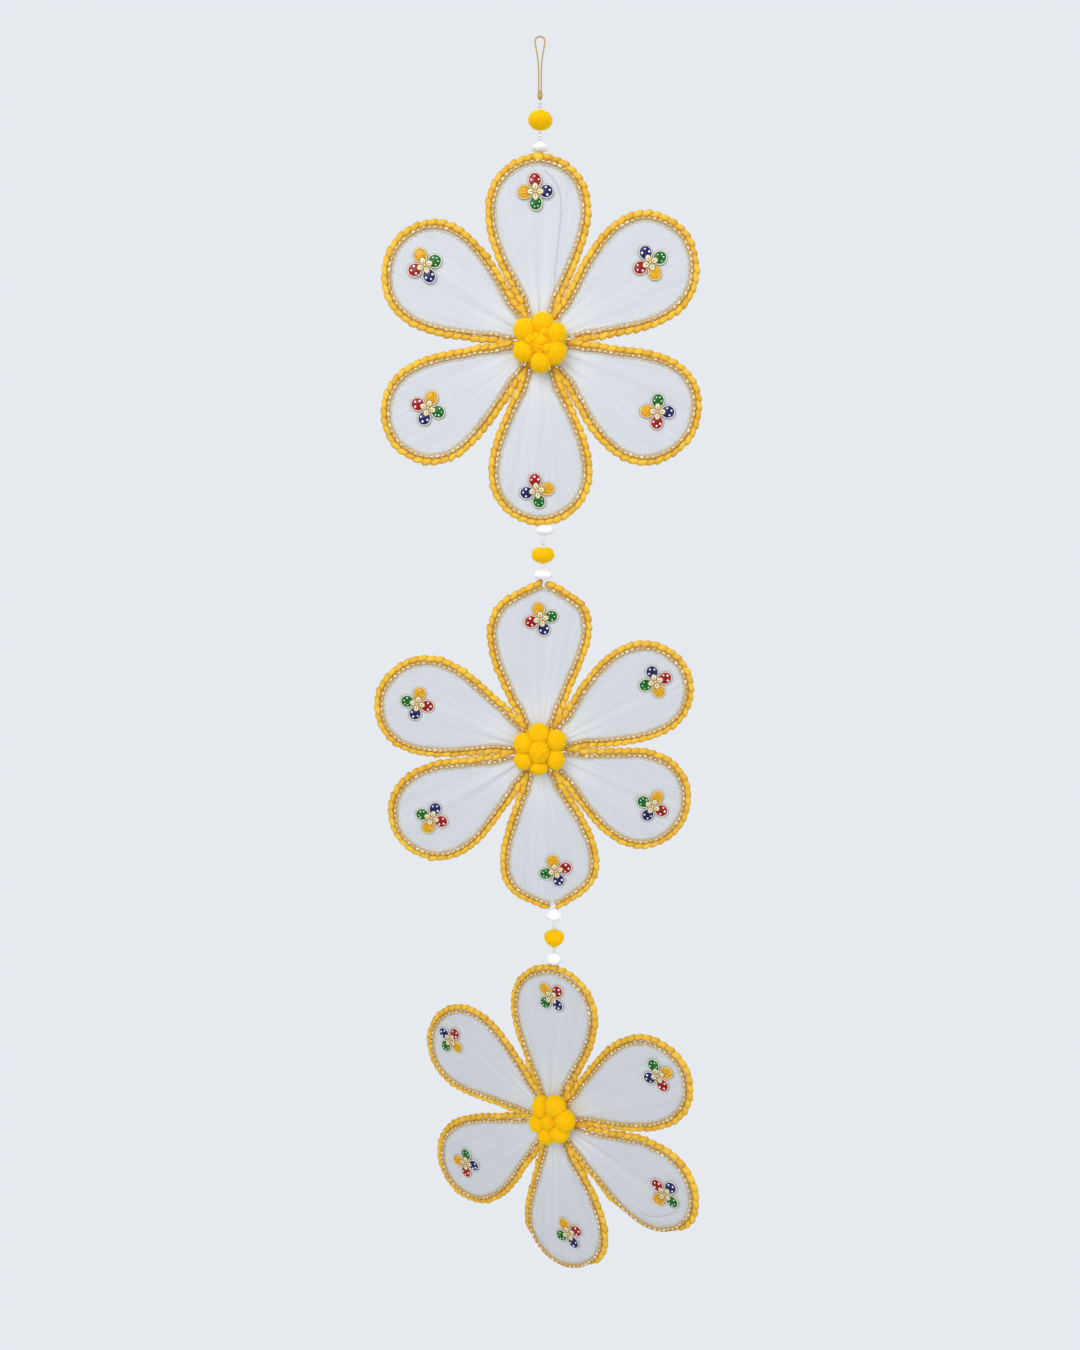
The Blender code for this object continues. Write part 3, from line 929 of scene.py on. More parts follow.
@dataclass(frozen=True)
class Outline:
    """The outline of one petal, drawn in towards its valleys near the middle."""

    petal: Petal
    valley_after: float
    valley_before: float
    base_taper: float = 1.62
    tip_roundness: float = 0.57
    yellow_offset: float = 5.85 * MM
    row_half_pitch: float = 2.95 * MM
    single_half_pitch: float = 0.2 * MM
    single_row_to: float = 26.0 * MM
    two_rows_from: float = 40.0 * MM
    side_by_side_to: float = 34.0 * MM
    free_from: float = 66.0 * MM
    pinch_spread_mm: float = 10.5

    def teardrop(self, turn: np.ndarray) -> np.ndarray:
        """Draw the open net's outline along its own axis, from base round to base.

        Args:
            turn: Parameters from 0 at the base to half a turn at the tip and on.

        Returns:
            Rows of (along, aside).
        """
        along = (1 - np.cos(turn)) / 2
        widest = self.base_taper / (self.base_taper + self.tip_roundness)
        peak = widest**self.base_taper * (1 - widest) ** self.tip_roundness
        fullness = np.maximum(along, 0) ** self.base_taper * np.maximum(1 - along, 0) ** self.tip_roundness
        from_tip = self.petal.length_mm * (1 - along)
        pinch = self.petal.pinch * np.exp(-((from_tip / self.pinch_spread_mm) ** 2))
        half_width = self.petal.half_width_mm * (1 - pinch)
        side = np.copysign(half_width, np.sin(turn)) * fullness / peak
        bow = self.petal.bow_mm * np.sin(math.pi * along)
        return np.stack([self.petal.length_mm * along, side + bow], axis=1) * MM

    def held(self, points: np.ndarray, valley: float, petal_side: int, offset: float) -> np.ndarray:
        """Draw points towards a valley near the middle, clear of the next petal's row.

        Args:
            points: Rows of (across, up).
            valley: The valley's direction.
            petal_side: 1 if the petal lies to the valley's left, or -1.
            offset: Distance outwards from the open net's edge.

        Returns:
            The points as held.
        """
        direction = heading(valley)
        across = np.array([-direction[1], direction[0]]) * petal_side
        along = points @ direction
        parted = eased(along, self.single_row_to, self.two_rows_from)
        half_pitch = self.single_half_pitch + (self.row_half_pitch - self.single_half_pitch) * parted
        clear = half_pitch + self.yellow_offset - offset
        ease = eased(along, self.side_by_side_to, self.free_from)
        distance = clear + np.maximum(points @ across - clear, 0.0) * ease
        return along[:, None] * direction + distance[:, None] * across

    def points(self, turn: np.ndarray, offset: float) -> np.ndarray:
        """Place outline points in the flower's plane.

        Args:
            turn: Parameters of the points.
            offset: Distance outwards from the open net's edge.

        Returns:
            Rows of (across, up).
        """
        step = 0.002
        tangent = self.teardrop(turn + step) - self.teardrop(turn - step)
        outward = unit(np.stack([-tangent[:, 1], tangent[:, 0]], axis=1))
        local = self.teardrop(turn) + outward * offset
        angle = math.radians(self.petal.turn_deg)
        along, up = heading(angle), heading(angle + math.pi / 2)
        turned = local[:, :1] * along + local[:, 1:] * up
        after = self.held(turned, self.valley_after, -1, offset)
        before = self.held(turned, self.valley_before, 1, offset)
        return np.where((turn < math.pi)[:, None], after, before)

    def first_turn(self, start: float) -> float:
        """Return the outline's parameter at a distance from the base."""
        return math.acos(1 - 2 * start / (self.petal.length_mm * MM))

    def path(self, start: float, offset: float, steps: int = 240) -> np.ndarray:
        """Return the outline as a path, clockwise side first, from base round to base."""
        first = self.first_turn(start)
        return self.points(np.linspace(math.tau - first, first, steps + 1), offset)


@dataclass(frozen=True)
class PompomBall:
    """One pompom: its middle, half sizes, and how its form departs from a plain ball."""

    across_mm: float
    depth_mm: float
    up_mm: float
    half_width_mm: float
    half_depth_mm: float
    half_height_mm: float
    taper: float = 0.0
    dimple_mm: float = 0.0
    rumple_mm: float = 0.35
    lean_mm: float = 0.0
    crease_mm: float = 0.0
    dimple_spread: float = 0.18
    solid_share: float = 0.93

    def form(self, directions: np.ndarray) -> np.ndarray:
        """Shape the pompom's skin.

        Args:
            directions: Unit vectors from its middle.

        Returns:
            A point for each direction, in metres.
        """
        half = np.array([self.half_width_mm, self.half_depth_mm, self.half_height_mm])
        skin = directions * half
        up = directions[:, 2:]
        skin[:, :2] *= 1 - self.taper * up
        hollow = np.exp(-((directions[:, :2] ** 2).sum(axis=1) / self.dimple_spread))
        skin[:, 2] -= self.dimple_mm * hollow * np.maximum(directions[:, 2], 0)
        skin[:, 0] += self.lean_mm * np.maximum(directions[:, 0] - directions[:, 2], 0) ** 2 / 2
        return (skin + np.array([self.across_mm, self.depth_mm, self.up_mm])) * MM

    def holds(self, points: np.ndarray) -> np.ndarray:
        """Tell which points lie inside the pompom.

        Args:
            points: Rows of (x, y, z).

        Returns:
            True for each point inside.
        """
        centre = np.array([self.across_mm, self.depth_mm, self.up_mm]) * MM
        half = np.array([self.half_width_mm, self.half_depth_mm, self.half_height_mm]) * MM
        return (((points - centre) / half) ** 2).sum(axis=1) < self.solid_share


@dataclass(frozen=True)
class PileMaker:
    """Makes pompoms from a lumpy ball and a dense short pile."""

    fibres: int = 2800
    fibre_width: float = 0.17 * MM
    fibre_length: float = 2.3 * MM
    pile_depth: float = 0.55 * MM
    untidiness: float = 0.4
    divisions: int = 4
    lump_size: float = 0.45
    crease_size: float = 0.75
    crease_width: float = 0.085
    bare_from: float = 0.55
    skin_light: float = 0.45
    scatter: float = 0.035
    length_range: Pair = (0.6, 1.1)
    root_share: float = 0.3
    noise_step: Triple = (3.1, 1.7, 0.0)

    def directions(self, count: int, random: np.random.Generator) -> np.ndarray:
        """Spread directions over a ball, even but for a little scatter.

        Args:
            count: Number of directions.
            random: Source of chance.

        Returns:
            Unit vectors.
        """
        step = np.arange(count) + 0.5
        up = 1 - 2 * step / count
        turn = step * math.pi * (3 - math.sqrt(5))
        flat = np.sqrt(1 - up**2)
        spread = np.stack([flat * np.cos(turn), flat * np.sin(turn), up], axis=1)
        return unit(spread + random.normal(0.0, self.scatter, spread.shape))

    def creased(self, ball: PompomBall, directions: np.ndarray, seed: int) -> np.ndarray:
        """Work out how deep each direction lies in a crease.

        Args:
            ball: The pompom.
            directions: Unit vectors from its middle.
            seed: Seed of its creases.

        Returns:
            A depth from 0 to 1 for each.
        """
        shift = Vector([step * seed for step in self.noise_step])
        lines = np.array([noise.noise(Vector(way) / self.crease_size - shift) for way in directions])
        return np.exp(-((lines / self.crease_width) ** 2)) * min(1.0, ball.crease_mm)

    def rumpled(self, ball: PompomBall, directions: np.ndarray, seed: int) -> np.ndarray:
        """Shape the ball under the pile, with its lumps and creases.

        Args:
            ball: The pompom.
            directions: Unit vectors from its middle.
            seed: Seed of its lumps.

        Returns:
            A point for each direction.
        """
        skin = ball.form(directions)
        centre = np.array([ball.across_mm, ball.depth_mm, ball.up_mm]) * MM
        shift = Vector([step * seed for step in self.noise_step])
        lumps = np.array([noise.noise(Vector(way) / self.lump_size + shift) for way in directions])
        creases = self.creased(ball, directions, seed) * ball.crease_mm
        reach = np.linalg.norm(skin - centre, axis=1)
        depth = self.pile_depth + (ball.rumple_mm * (0.5 - lumps) + creases) * MM
        return centre + (skin - centre) * (1 - depth / reach)[:, None]

    def add(self, piece: Piece, ball: PompomBall, others: tuple, white: bool, seed: int) -> None:
        """Add one pompom to a piece.

        Args:
            piece: The piece.
            ball: The pompom.
            others: Pompoms beside it, whose insides get no fibres.
            white: Whether it is white, or else yellow.
            seed: Seed of its chance.
        """
        random = np.random.default_rng(seed)
        core = round_ball_shape(self.divisions)
        skin = self.rumpled(ball, core.points, seed)
        grain = np.zeros_like(skin)
        # Painted shade: the ball's skin is darker in its creases.
        grain[:, 2] = self.skin_light * (1 - 2 * self.creased(ball, core.points, seed))
        piece.add(Shape(skin, core.triangles, grain), ONCE, WHITE_BALL if white else YELLOW_BALL)
        ways = self.directions(self.fibres, random)
        roots = self.rumpled(ball, ways, seed)
        free = self.creased(ball, ways, seed) < self.bare_from
        for other in others:
            free &= ~other.holds(roots)
        ways, roots = ways[free], roots[free]
        half = np.array([ball.half_width_mm, ball.half_depth_mm, ball.half_height_mm])
        straight = unit(ways / half)
        lean = unit(straight + random.normal(0.0, self.untidiness, straight.shape))
        lean *= self.fibre_length * random.uniform(*self.length_range, (len(lean), 1))
        side = unit(np.cross(lean, random.normal(size=lean.shape)))
        other_side = unit(np.cross(lean, side))
        roots = roots - lean * self.root_share
        places = spots(roots, side * self.fibre_width, other_side * self.fibre_width, lean)
        finish = WHITE_PILE if white else YELLOW_PILE
        piece.add(fibre_shape(1.0), places, finish, random.uniform(0.0, 1.0, len(roots)))


@dataclass(frozen=True)
class Net:
    """A petal's net, stretched in its braid and gathered at the flower's middle."""

    offset: float = 3.0 * MM
    start: float = 11.5 * MM
    columns: int = 40
    rows: int = 64
    thickness: float = 0.25 * MM
    folds: int = 11
    fold_height: float = 0.55 * MM
    far_height: float = 0.14 * MM
    fold_fade: float = 48.0 * MM
    fold_from: float = 20.0 * MM
    fold_reach_deg: float = 20.0
    fold_width_deg: Pair = (1.6, 4.2)
    fold_share: Pair = (0.5, 1.0)
    edge_hold: int = 6
    right_side: float = 1e-9

    def build(self, flower: "Flower", outline: Outline, seed: int) -> bpy.types.Object:
        """Args:
            flower: The flower that it belongs to.
            outline: The petal's outline.
            seed: Seed of its folds.

        Returns:
            The object.
        """
        name = f"{flower.name}_net_{outline.petal.where}"
        first = outline.first_turn(self.start)
        axis = math.radians(outline.petal.turn_deg)

        def bend(across: np.ndarray, along: np.ndarray) -> np.ndarray:
            """Lay the grid between the petal's two edges.

            Args:
                across: Shares from the right edge to the left.
                along: Shares from the base to the tip.

            Returns:
                Rows of (x, y, z).
            """
            turn = first + (math.pi - first) * along
            left = outline.points(turn, self.offset)
            right = outline.points(math.tau - turn - self.right_side, self.offset)
            flat = right + (left - right) * across[:, None]
            return standing(flat, self.rise(flat, across, axis, seed))

        shape = bent_grid(self.columns, self.rows, bend, welded=True)
        piece = Piece(f"{name}_cloth")
        piece.add(shape, ONCE, NET)
        thing = piece.build(flower.place(), "white_net", (name,))
        self.map_cloth(thing.data, shape.points, axis)
        thicken = thing.modifiers.new("thickness", "SOLIDIFY")
        thicken.thickness = self.thickness
        thicken.offset = 0.0
        self.declare(thing, outline)
        return thing

    def rise(self, flat: np.ndarray, across: np.ndarray, axis: float, seed: int) -> np.ndarray:
        """Work out how far the cloth's folds rise.

        Args:
            flat: Rows of (across, up).
            across: Shares from the petal's right edge to its left.
            axis: The petal's direction.
            seed: Seed of the folds.

        Returns:
            A depth for each point.
        """
        random = np.random.default_rng(seed)
        radius = np.linalg.norm(flat, axis=1)
        angle = np.arctan2(flat[:, 1], flat[:, 0]) - axis
        angle = (angle + math.pi) % math.tau - math.pi
        fade = np.exp(-(radius - self.fold_from) / self.fold_fade)
        height = self.far_height + self.fold_height * fade
        rise = np.zeros(len(flat))
        for _ in range(self.folds):
            middle = math.radians(random.uniform(-self.fold_reach_deg, self.fold_reach_deg))
            width = math.radians(random.uniform(*self.fold_width_deg))
            side = random.choice((-1.0, 1.0)) * random.uniform(*self.fold_share)
            rise += side * np.exp(-(((angle - middle) / width) ** 2))
        held = 1 - np.abs(across * 2 - 1) ** self.edge_hold
        return rise * height * held

    def map_cloth(self, mesh: bpy.types.Mesh, points: np.ndarray, axis: float) -> None:
        """Give the cloth two UV maps: its threads, and its fan of folds from the middle.

        Args:
            mesh: The cloth's mesh.
            points: Its points in the flower's own frame.
            axis: The petal's direction.
        """
        flat = points[:, [0, 2]]
        along = flat @ heading(axis)
        across = flat @ heading(axis + math.pi / 2)
        angle = np.arctan2(across, along)
        corner = np.zeros(len(mesh.loops), np.int32)
        mesh.loops.foreach_get("vertex_index", corner)
        for name, pair in (("cloth", (along, across)), ("gather", (angle, np.hypot(along, across)))):
            layer = mesh.uv_layers.new(name=name)
            layer.data.foreach_set("uv", np.stack(pair, axis=1)[corner].astype(np.float32).ravel())

    def declare(self, thing: bpy.types.Object, outline: Outline) -> None:
        """Args:
            thing: The cloth; not used.
            outline: The petal's outline.
        """
        edge = outline.path(self.start, self.offset)
        width = 2 * (outline.petal.half_width_mm * MM + self.offset)
        length = outline.petal.length_mm * MM + self.offset - self.start


def parted(path: np.ndarray, petal: Petal) -> list[np.ndarray]:
    """Return a petal's path, or its two sides where the braids stand open at its tip.

    Args:
        path: Rows that start with across and up.
        petal: The petal.

    Returns:
        One path or two.
    """
    if petal.tip_gap_mm == 0.0:
        return [path]
    tip = path[len(path) // 2, :2]
    near = np.linalg.norm(path[:, :2] - tip, axis=1) < petal.tip_gap_mm * MM / 2
    inside = np.flatnonzero(near)
    return [path[:inside[0]], path[inside[-1] + 1:]]


def tube_shape(path: np.ndarray, pitch: float, sides: int, section: Callable) -> Shape:
    """Carry a round or twisted section along a path.

    Args:
        path: Rows of (x, y, z).
        pitch: Step between rings.
        sides: Number of sides.
        section: Function of angle and distance that gives (aside, forward) offsets.

    Returns:
        The tube, whose grain is (share around, share along, 0).
    """
    walk = Walk.down(path, pitch)
    total = np.linalg.norm(np.diff(path, axis=0), axis=1).sum()
    front = np.array([0.0, -1.0, 0.0])
    aside = unit(np.cross(walk.along, front))
    rings = len(walk.spots) - 1

    def bend(around: np.ndarray, along: np.ndarray) -> np.ndarray:
        """Put each grid point on the tube.

        Args:
            around: Shares of a turn.
            along: Shares of the path.

        Returns:
            Rows of (x, y, z).
        """
        index = np.rint(along * rings).astype(int)
        offset, forward = section(around * math.tau, along * total)
        return walk.spots[index] + aside[index] * offset[:, None] + front * forward[:, None]

    return bent_grid(sides, rings, bend, welded=True)


@dataclass(frozen=True)
class Twist:
    """The section of a two-ply twisted cord."""

    radius: float
    turn_length: float
    waist: float = 0.45

    def __call__(self, angle: np.ndarray, distance: np.ndarray) -> tuple[np.ndarray, np.ndarray]:
        """Place points of the section, which turns along the cord.

        Args:
            angle: Angles round the cord.
            distance: Distances along it.

        Returns:
            Offsets aside and forward.
        """
        facing = angle - math.tau * distance / self.turn_length
        reach = self.radius * (self.waist + (1 - self.waist) * np.abs(np.cos(facing)))
        return reach * np.cos(angle), reach * np.sin(angle)


@dataclass(frozen=True)
class Oval:
    """An oval section."""

    half_width: float
    half_depth: float

    def __call__(self, angle: np.ndarray, distance: np.ndarray) -> tuple[np.ndarray, np.ndarray]:
        """Return the offsets of points of the section."""
        return self.half_width * np.cos(angle), self.half_depth * np.sin(angle)


@dataclass(frozen=True)
class YellowBraid:
    """The braid of plump yellow lumps round every petal."""

    pitch: float = 7.4 * MM
    half_length: float = 5.3 * MM
    half_width: float = 2.9 * MM
    half_depth: float = 2.7 * MM
    inset: float = 0.5 * MM
    depth: float = 1.0 * MM
    roll_inset: float = 4.6 * MM
    roll_back: float = 3.4 * MM
    tilt_deg: float = 17.0
    row_start: float = 27.0 * MM
    core_radius: float = 2.0 * MM
    arm_from: float = 14.0 * MM
    arm_to: float = 31.0 * MM
    core_pitch: float = 4.0 * MM
    core_sides: int = 6
    lump_faces: tuple[int, int] = (8, 7)
    tie_forward: float = 2.6 * MM
    tie_inset: float = 1.4 * MM
    tie_tilt_deg: float = 20.0
    tie_shares: Triple = (0.95, 0.8, 1.05)
    tilt_spread_deg: float = 4.0
    size_spread: float = 0.045
    aside_spread: float = 0.18 * MM
    depth_spread: float = 0.2 * MM

    def build(self, flower: "Flower", seed: int) -> None:
        """Build the braid of one flower.

        Args:
            flower: The flower.
            seed: Seed of the lumps' unevenness.
        """
        random = np.random.default_rng(seed)
        piece = Piece(f"{flower.name}_yellow_braid_lumps")
        lump = lump_shape(*self.lump_faces)
        for outline in flower.outlines():
            direction = heading(outline.valley_after)
            arm = np.stack([direction * self.arm_from, direction * self.arm_to])
            arm = np.concatenate([arm, np.full((2, 1), self.depth)], axis=1)
            for path in (*parted(self.row(outline), outline.petal), arm):
                self.add_row(piece, lump, path, random)
            if outline.petal.tied:
                self.add_tie(piece, lump, outline, random)
        piece.build(flower.place(), "yellow_braid", (f"{flower.name}_yellow_braid",))

    def row(self, outline: Outline) -> np.ndarray:
        """Return a petal's row: close along the gilt braid where it runs free, behind where it is rolled.

        Args:
            outline: The petal's outline.

        Returns:
            Rows of (across, up, depth).
        """
        held = outline.path(self.row_start, outline.yellow_offset)
        close = outline.path(self.row_start, outline.yellow_offset - self.inset)
        behind = outline.path(self.row_start, outline.yellow_offset - self.roll_inset)
        share = eased(np.linalg.norm(held, axis=1), outline.two_rows_from, outline.free_from)[:, None]
        rolled = outline.petal.roll.shares(len(held))[:, None]
        flat = held + (close - held) * share
        flat += (behind - flat) * rolled
        return np.concatenate([flat, self.depth + self.roll_back * rolled], axis=1)

    def add_row(self, piece: Piece, lump: Shape, path: np.ndarray, random: np.random.Generator) -> None:
        """Add a row of lumps on its core along a path, each a little turned and of its own size.

        Args:
            piece: The piece.
            lump: The lump's shape.
            path: Rows of (across, up, depth).
            random: Source of chance.
        """
        core = Oval(self.core_radius, self.core_radius)
        line = standing(path, path[:, 2])
        # The darker core shows between the lumps as painted shade of the gaps.
        piece.add(tube_shape(line, self.core_pitch, self.core_sides, core), ONCE, WOOL_CORE_GAP_SHADE)
        walk = Walk.down(path, self.pitch, ends=False)
        count = len(walk.spots)
        tilt = np.radians(self.tilt_deg + random.normal(0.0, self.tilt_spread_deg, count))[:, None]
        along = walk.along[:, :2] * np.cos(tilt) + walk.aside() * np.sin(tilt)
        aside = np.stack([-along[:, 1], along[:, 0]], axis=1)
        size = random.normal(1.0, self.size_spread, (count, 1))
        centres = walk.spots[:, :2] + walk.aside() * random.normal(0.0, self.aside_spread, (count, 1))
        depth = walk.spots[:, 2] + random.normal(0.0, self.depth_spread, count)
        places = spots(
            standing(centres, depth),
            standing(along * self.half_length, 0.0),
            np.array([0.0, self.half_depth, 0.0]) * size,
            standing(aside * self.half_width * size, 0.0),
        )
        piece.add(lump, places, WOOL, random.uniform(0.25, 1.0, count))

    def add_tie(self, piece: Piece, lump: Shape, outline: Outline, random: np.random.Generator) -> None:
        """Add the bright lump that ties the braid's ends over the petal's tip.

        Args:
            piece: The piece.
            lump: The lump's shape.
            outline: The petal's outline.
            random: Source of chance.
        """
        tip = Walk.down(outline.path(self.row_start, outline.yellow_offset - self.tie_inset), MM)
        middle = len(tip.spots) // 2
        spot = standing(tip.spots[middle:middle + 1], self.depth - self.tie_forward)
        tilt = math.radians(random.uniform(-self.tie_tilt_deg, self.tie_tilt_deg))
        along = tip.along[middle] * math.cos(tilt) + tip.aside()[middle] * math.sin(tilt)
        aside = np.array([[-along[1], along[0]]])
        longer, deeper, wider = self.tie_shares
        places = spots(
            spot,
            standing(along[None] * self.half_length * longer, 0.0),
            np.array([[0.0, self.half_depth * deeper, 0.0]]),
            standing(aside * self.half_width * wider, 0.0),
        )
        piece.add(lump, places, WOOL, np.array([1.0]))


@dataclass(frozen=True)
class PulledThread:
    """A darker thread pulled through a petal's net, from points in the flower's plane."""

    points_mm: tuple[Pair, ...]
    radius: float = 0.14 * MM
    depth: float = -0.9 * MM
    pitch: float = 1.5 * MM
    sides: int = 4

    def add(self, piece: Piece) -> None:
        """Add the thread to a piece.

        Args:
            piece: The piece.
        """
        path = standing(np.array(self.points_mm) * MM, self.depth)
        section = Oval(self.radius, self.radius)
        piece.add(tube_shape(path, self.pitch, self.sides, section), ONCE, PULLED)


@dataclass(frozen=True)
class Strand:
    """A strand that runs the length of a braid."""

    offset: float
    depth: float
    pitch: float
    section: Callable
    finish: Finish


@dataclass(frozen=True)
class GiltBraid:
    """The narrow gilt braid: a twisted cord on a band, a row of sparkling beads and small loops."""

    start: float = 15.0 * MM
    pitch: float = 4.7 * MM
    strands: tuple[Strand, ...] = (
        Strand(2.6 * MM, -1.5 * MM, 0.6 * MM, Twist(0.55 * MM, 3.0 * MM), GILT_TWIST),
        Strand(1.6 * MM, -0.85 * MM, 3.5 * MM, Oval(1.15 * MM, 0.5 * MM), GILT_BAND),
    )
    bead_offset: float = 1.65 * MM
    bead_depth: float = -1.8 * MM
    bead_half_sizes: Triple = (1.5 * MM, 0.95 * MM, 1.0 * MM)
    bead_spread: float = 0.16
    bead_shift: float = 0.2 * MM
    loop_offset: float = 0.2 * MM
    loop_depth: float = -0.75 * MM
    loop_half_length: float = 1.9 * MM
    loop_half_width: float = 1.6 * MM
    loop_spread: float = 0.08
    loop_thickness: float = 0.15
    loop_sweep_deg: float = 250.0
    sides: int = 6
    bead_faces: tuple[int, int] = (6, 4)
    loop_faces: tuple[int, int] = (8, 4)

    def build(self, flower: "Flower", seed: int) -> None:
        """Build the braid of one flower.

        Args:
            flower: The flower.
            seed: Seed of the beads' and loops' unevenness.
        """
        random = np.random.default_rng(seed)
        piece = Piece(f"{flower.name}_gilt_braid")
        bead = ball_shape(*self.bead_faces)
        loop = ring_shape(self.loop_thickness, *self.loop_faces, math.radians(self.loop_sweep_deg))
        for outline in flower.outlines():
            for strand in self.strands:
                for path in self.rows(outline, strand.offset):
                    line = standing(path, strand.depth)
                    tube = tube_shape(line, strand.pitch, self.sides, strand.section)
                    piece.add(tube, ONCE, strand.finish)
            for path in self.rows(outline, self.bead_offset):
                self.add_beads(piece, bead, path, random)
            middle = np.mean(outline.path(self.start, 0.0), axis=0)
            for path in self.rows(outline, self.loop_offset):
                self.add_loops(piece, loop, path, middle, random)
        for thread in flower.pulled:
            thread.add(piece)
        piece.build(flower.place(), "gold_braid", (f"{flower.name}_gold_braid",))

    def rows(self, outline: Outline, offset: float) -> list[np.ndarray]:
        """Return the braid's path round a petal at an offset, in two parts where its tip is open."""
        return parted(outline.path(self.start, offset), outline.petal)

    def add_beads(self, piece: Piece, bead: Shape, path: np.ndarray, random: np.random.Generator) -> None:
        """Add bright beads along a path.

        Args:
            piece: The piece.
            bead: The bead's shape.
            path: Rows of (across, up).
            random: Source of chance.
        """
        walk = Walk.down(path, self.pitch, ends=False)
        count = len(walk.spots)
        size = random.normal(1.0, self.bead_spread, (count, 1))
        shift = walk.aside() * random.normal(0.0, self.bead_shift, (count, 1))
        half_length, half_depth, half_width = self.bead_half_sizes
        places = spots(
            standing(walk.spots + shift, self.bead_depth),
            standing(walk.along * half_length * size, 0.0),
            np.array([0.0, half_depth, 0.0]) * size,
            standing(walk.aside() * half_width * size, 0.0),
        )
        piece.add(bead, places, GILT_SPARK, random.uniform(0.2, 1.0, count))

    def add_loops(
        self, piece: Piece, loop: Shape, path: np.ndarray, middle: np.ndarray, random: np.random.Generator
    ) -> None:
        """Add the small loops that stand out over the net along a path.

        Args:
            piece: The piece.
            loop: The loop's shape.
            path: Rows of (across, up).
            middle: A point of the net that the loops point to.
            random: Source of chance.
        """
        walk = Walk.down(path, self.pitch, ends=True)
        inward = walk.aside() * np.sign(((middle - walk.spots) * walk.aside()).sum(axis=1))[:, None]
        count = len(walk.spots)
        size = random.normal(1.0, self.loop_spread, (count, 1))
        places = spots(
            standing(walk.spots, self.loop_depth),
            standing(walk.along * self.loop_half_length * size, 0.0),
            np.array([0.0, self.loop_half_width, 0.0]) * size,
            standing(inward * self.loop_half_width * size, 0.0),
        )
        piece.add(loop, places, GILT_PICOT, random.uniform(0.0, 1.0, count))


@dataclass(frozen=True)
class Lobe:
    """The finishes of one lobe of a motif, and its small stones."""

    enamel: EnamelFinish
    rim: GlazedFinish
    stones: int
    stone_radius: float
    stone_finish: GlazedFinish


LOBES = {
    "red": Lobe(
        EnamelFinish("red_enamel", srgb(140, 4, 8), srgb(184, 24, 20)),
        GlazedFinish("rose_rim", srgb(252, 226, 216), srgb(240, 190, 176), 0.3),
        3, 0.95 * MM, STONE,
    ),
    "amber": Lobe(
        EnamelFinish("amber_enamel", srgb(206, 146, 0), srgb(250, 206, 36), 600.0),
        GlazedFinish("cream_rim", srgb(253, 232, 176), srgb(236, 200, 120), 0.3),
        3, 0.5 * MM, GlazedFinish("amber_stone", srgb(255, 226, 120), srgb(250, 200, 70), 0.15),
    ),
    "green": Lobe(
        EnamelFinish("green_enamel", srgb(0, 88, 20), srgb(16, 136, 40)),
        GlazedFinish("pale_green_rim", srgb(236, 244, 226), srgb(196, 222, 186), 0.3),
        4, 0.72 * MM, GlazedFinish("green_stone", srgb(232, 252, 232), srgb(190, 235, 200), 0.12),
    ),
    "blue": Lobe(
        EnamelFinish("blue_enamel", srgb(14, 20, 76), srgb(38, 48, 122)),
        GlazedFinish("grey_rim", srgb(236, 238, 242), srgb(206, 208, 220), 0.3),
        3, 0.95 * MM, STONE,
    ),
}


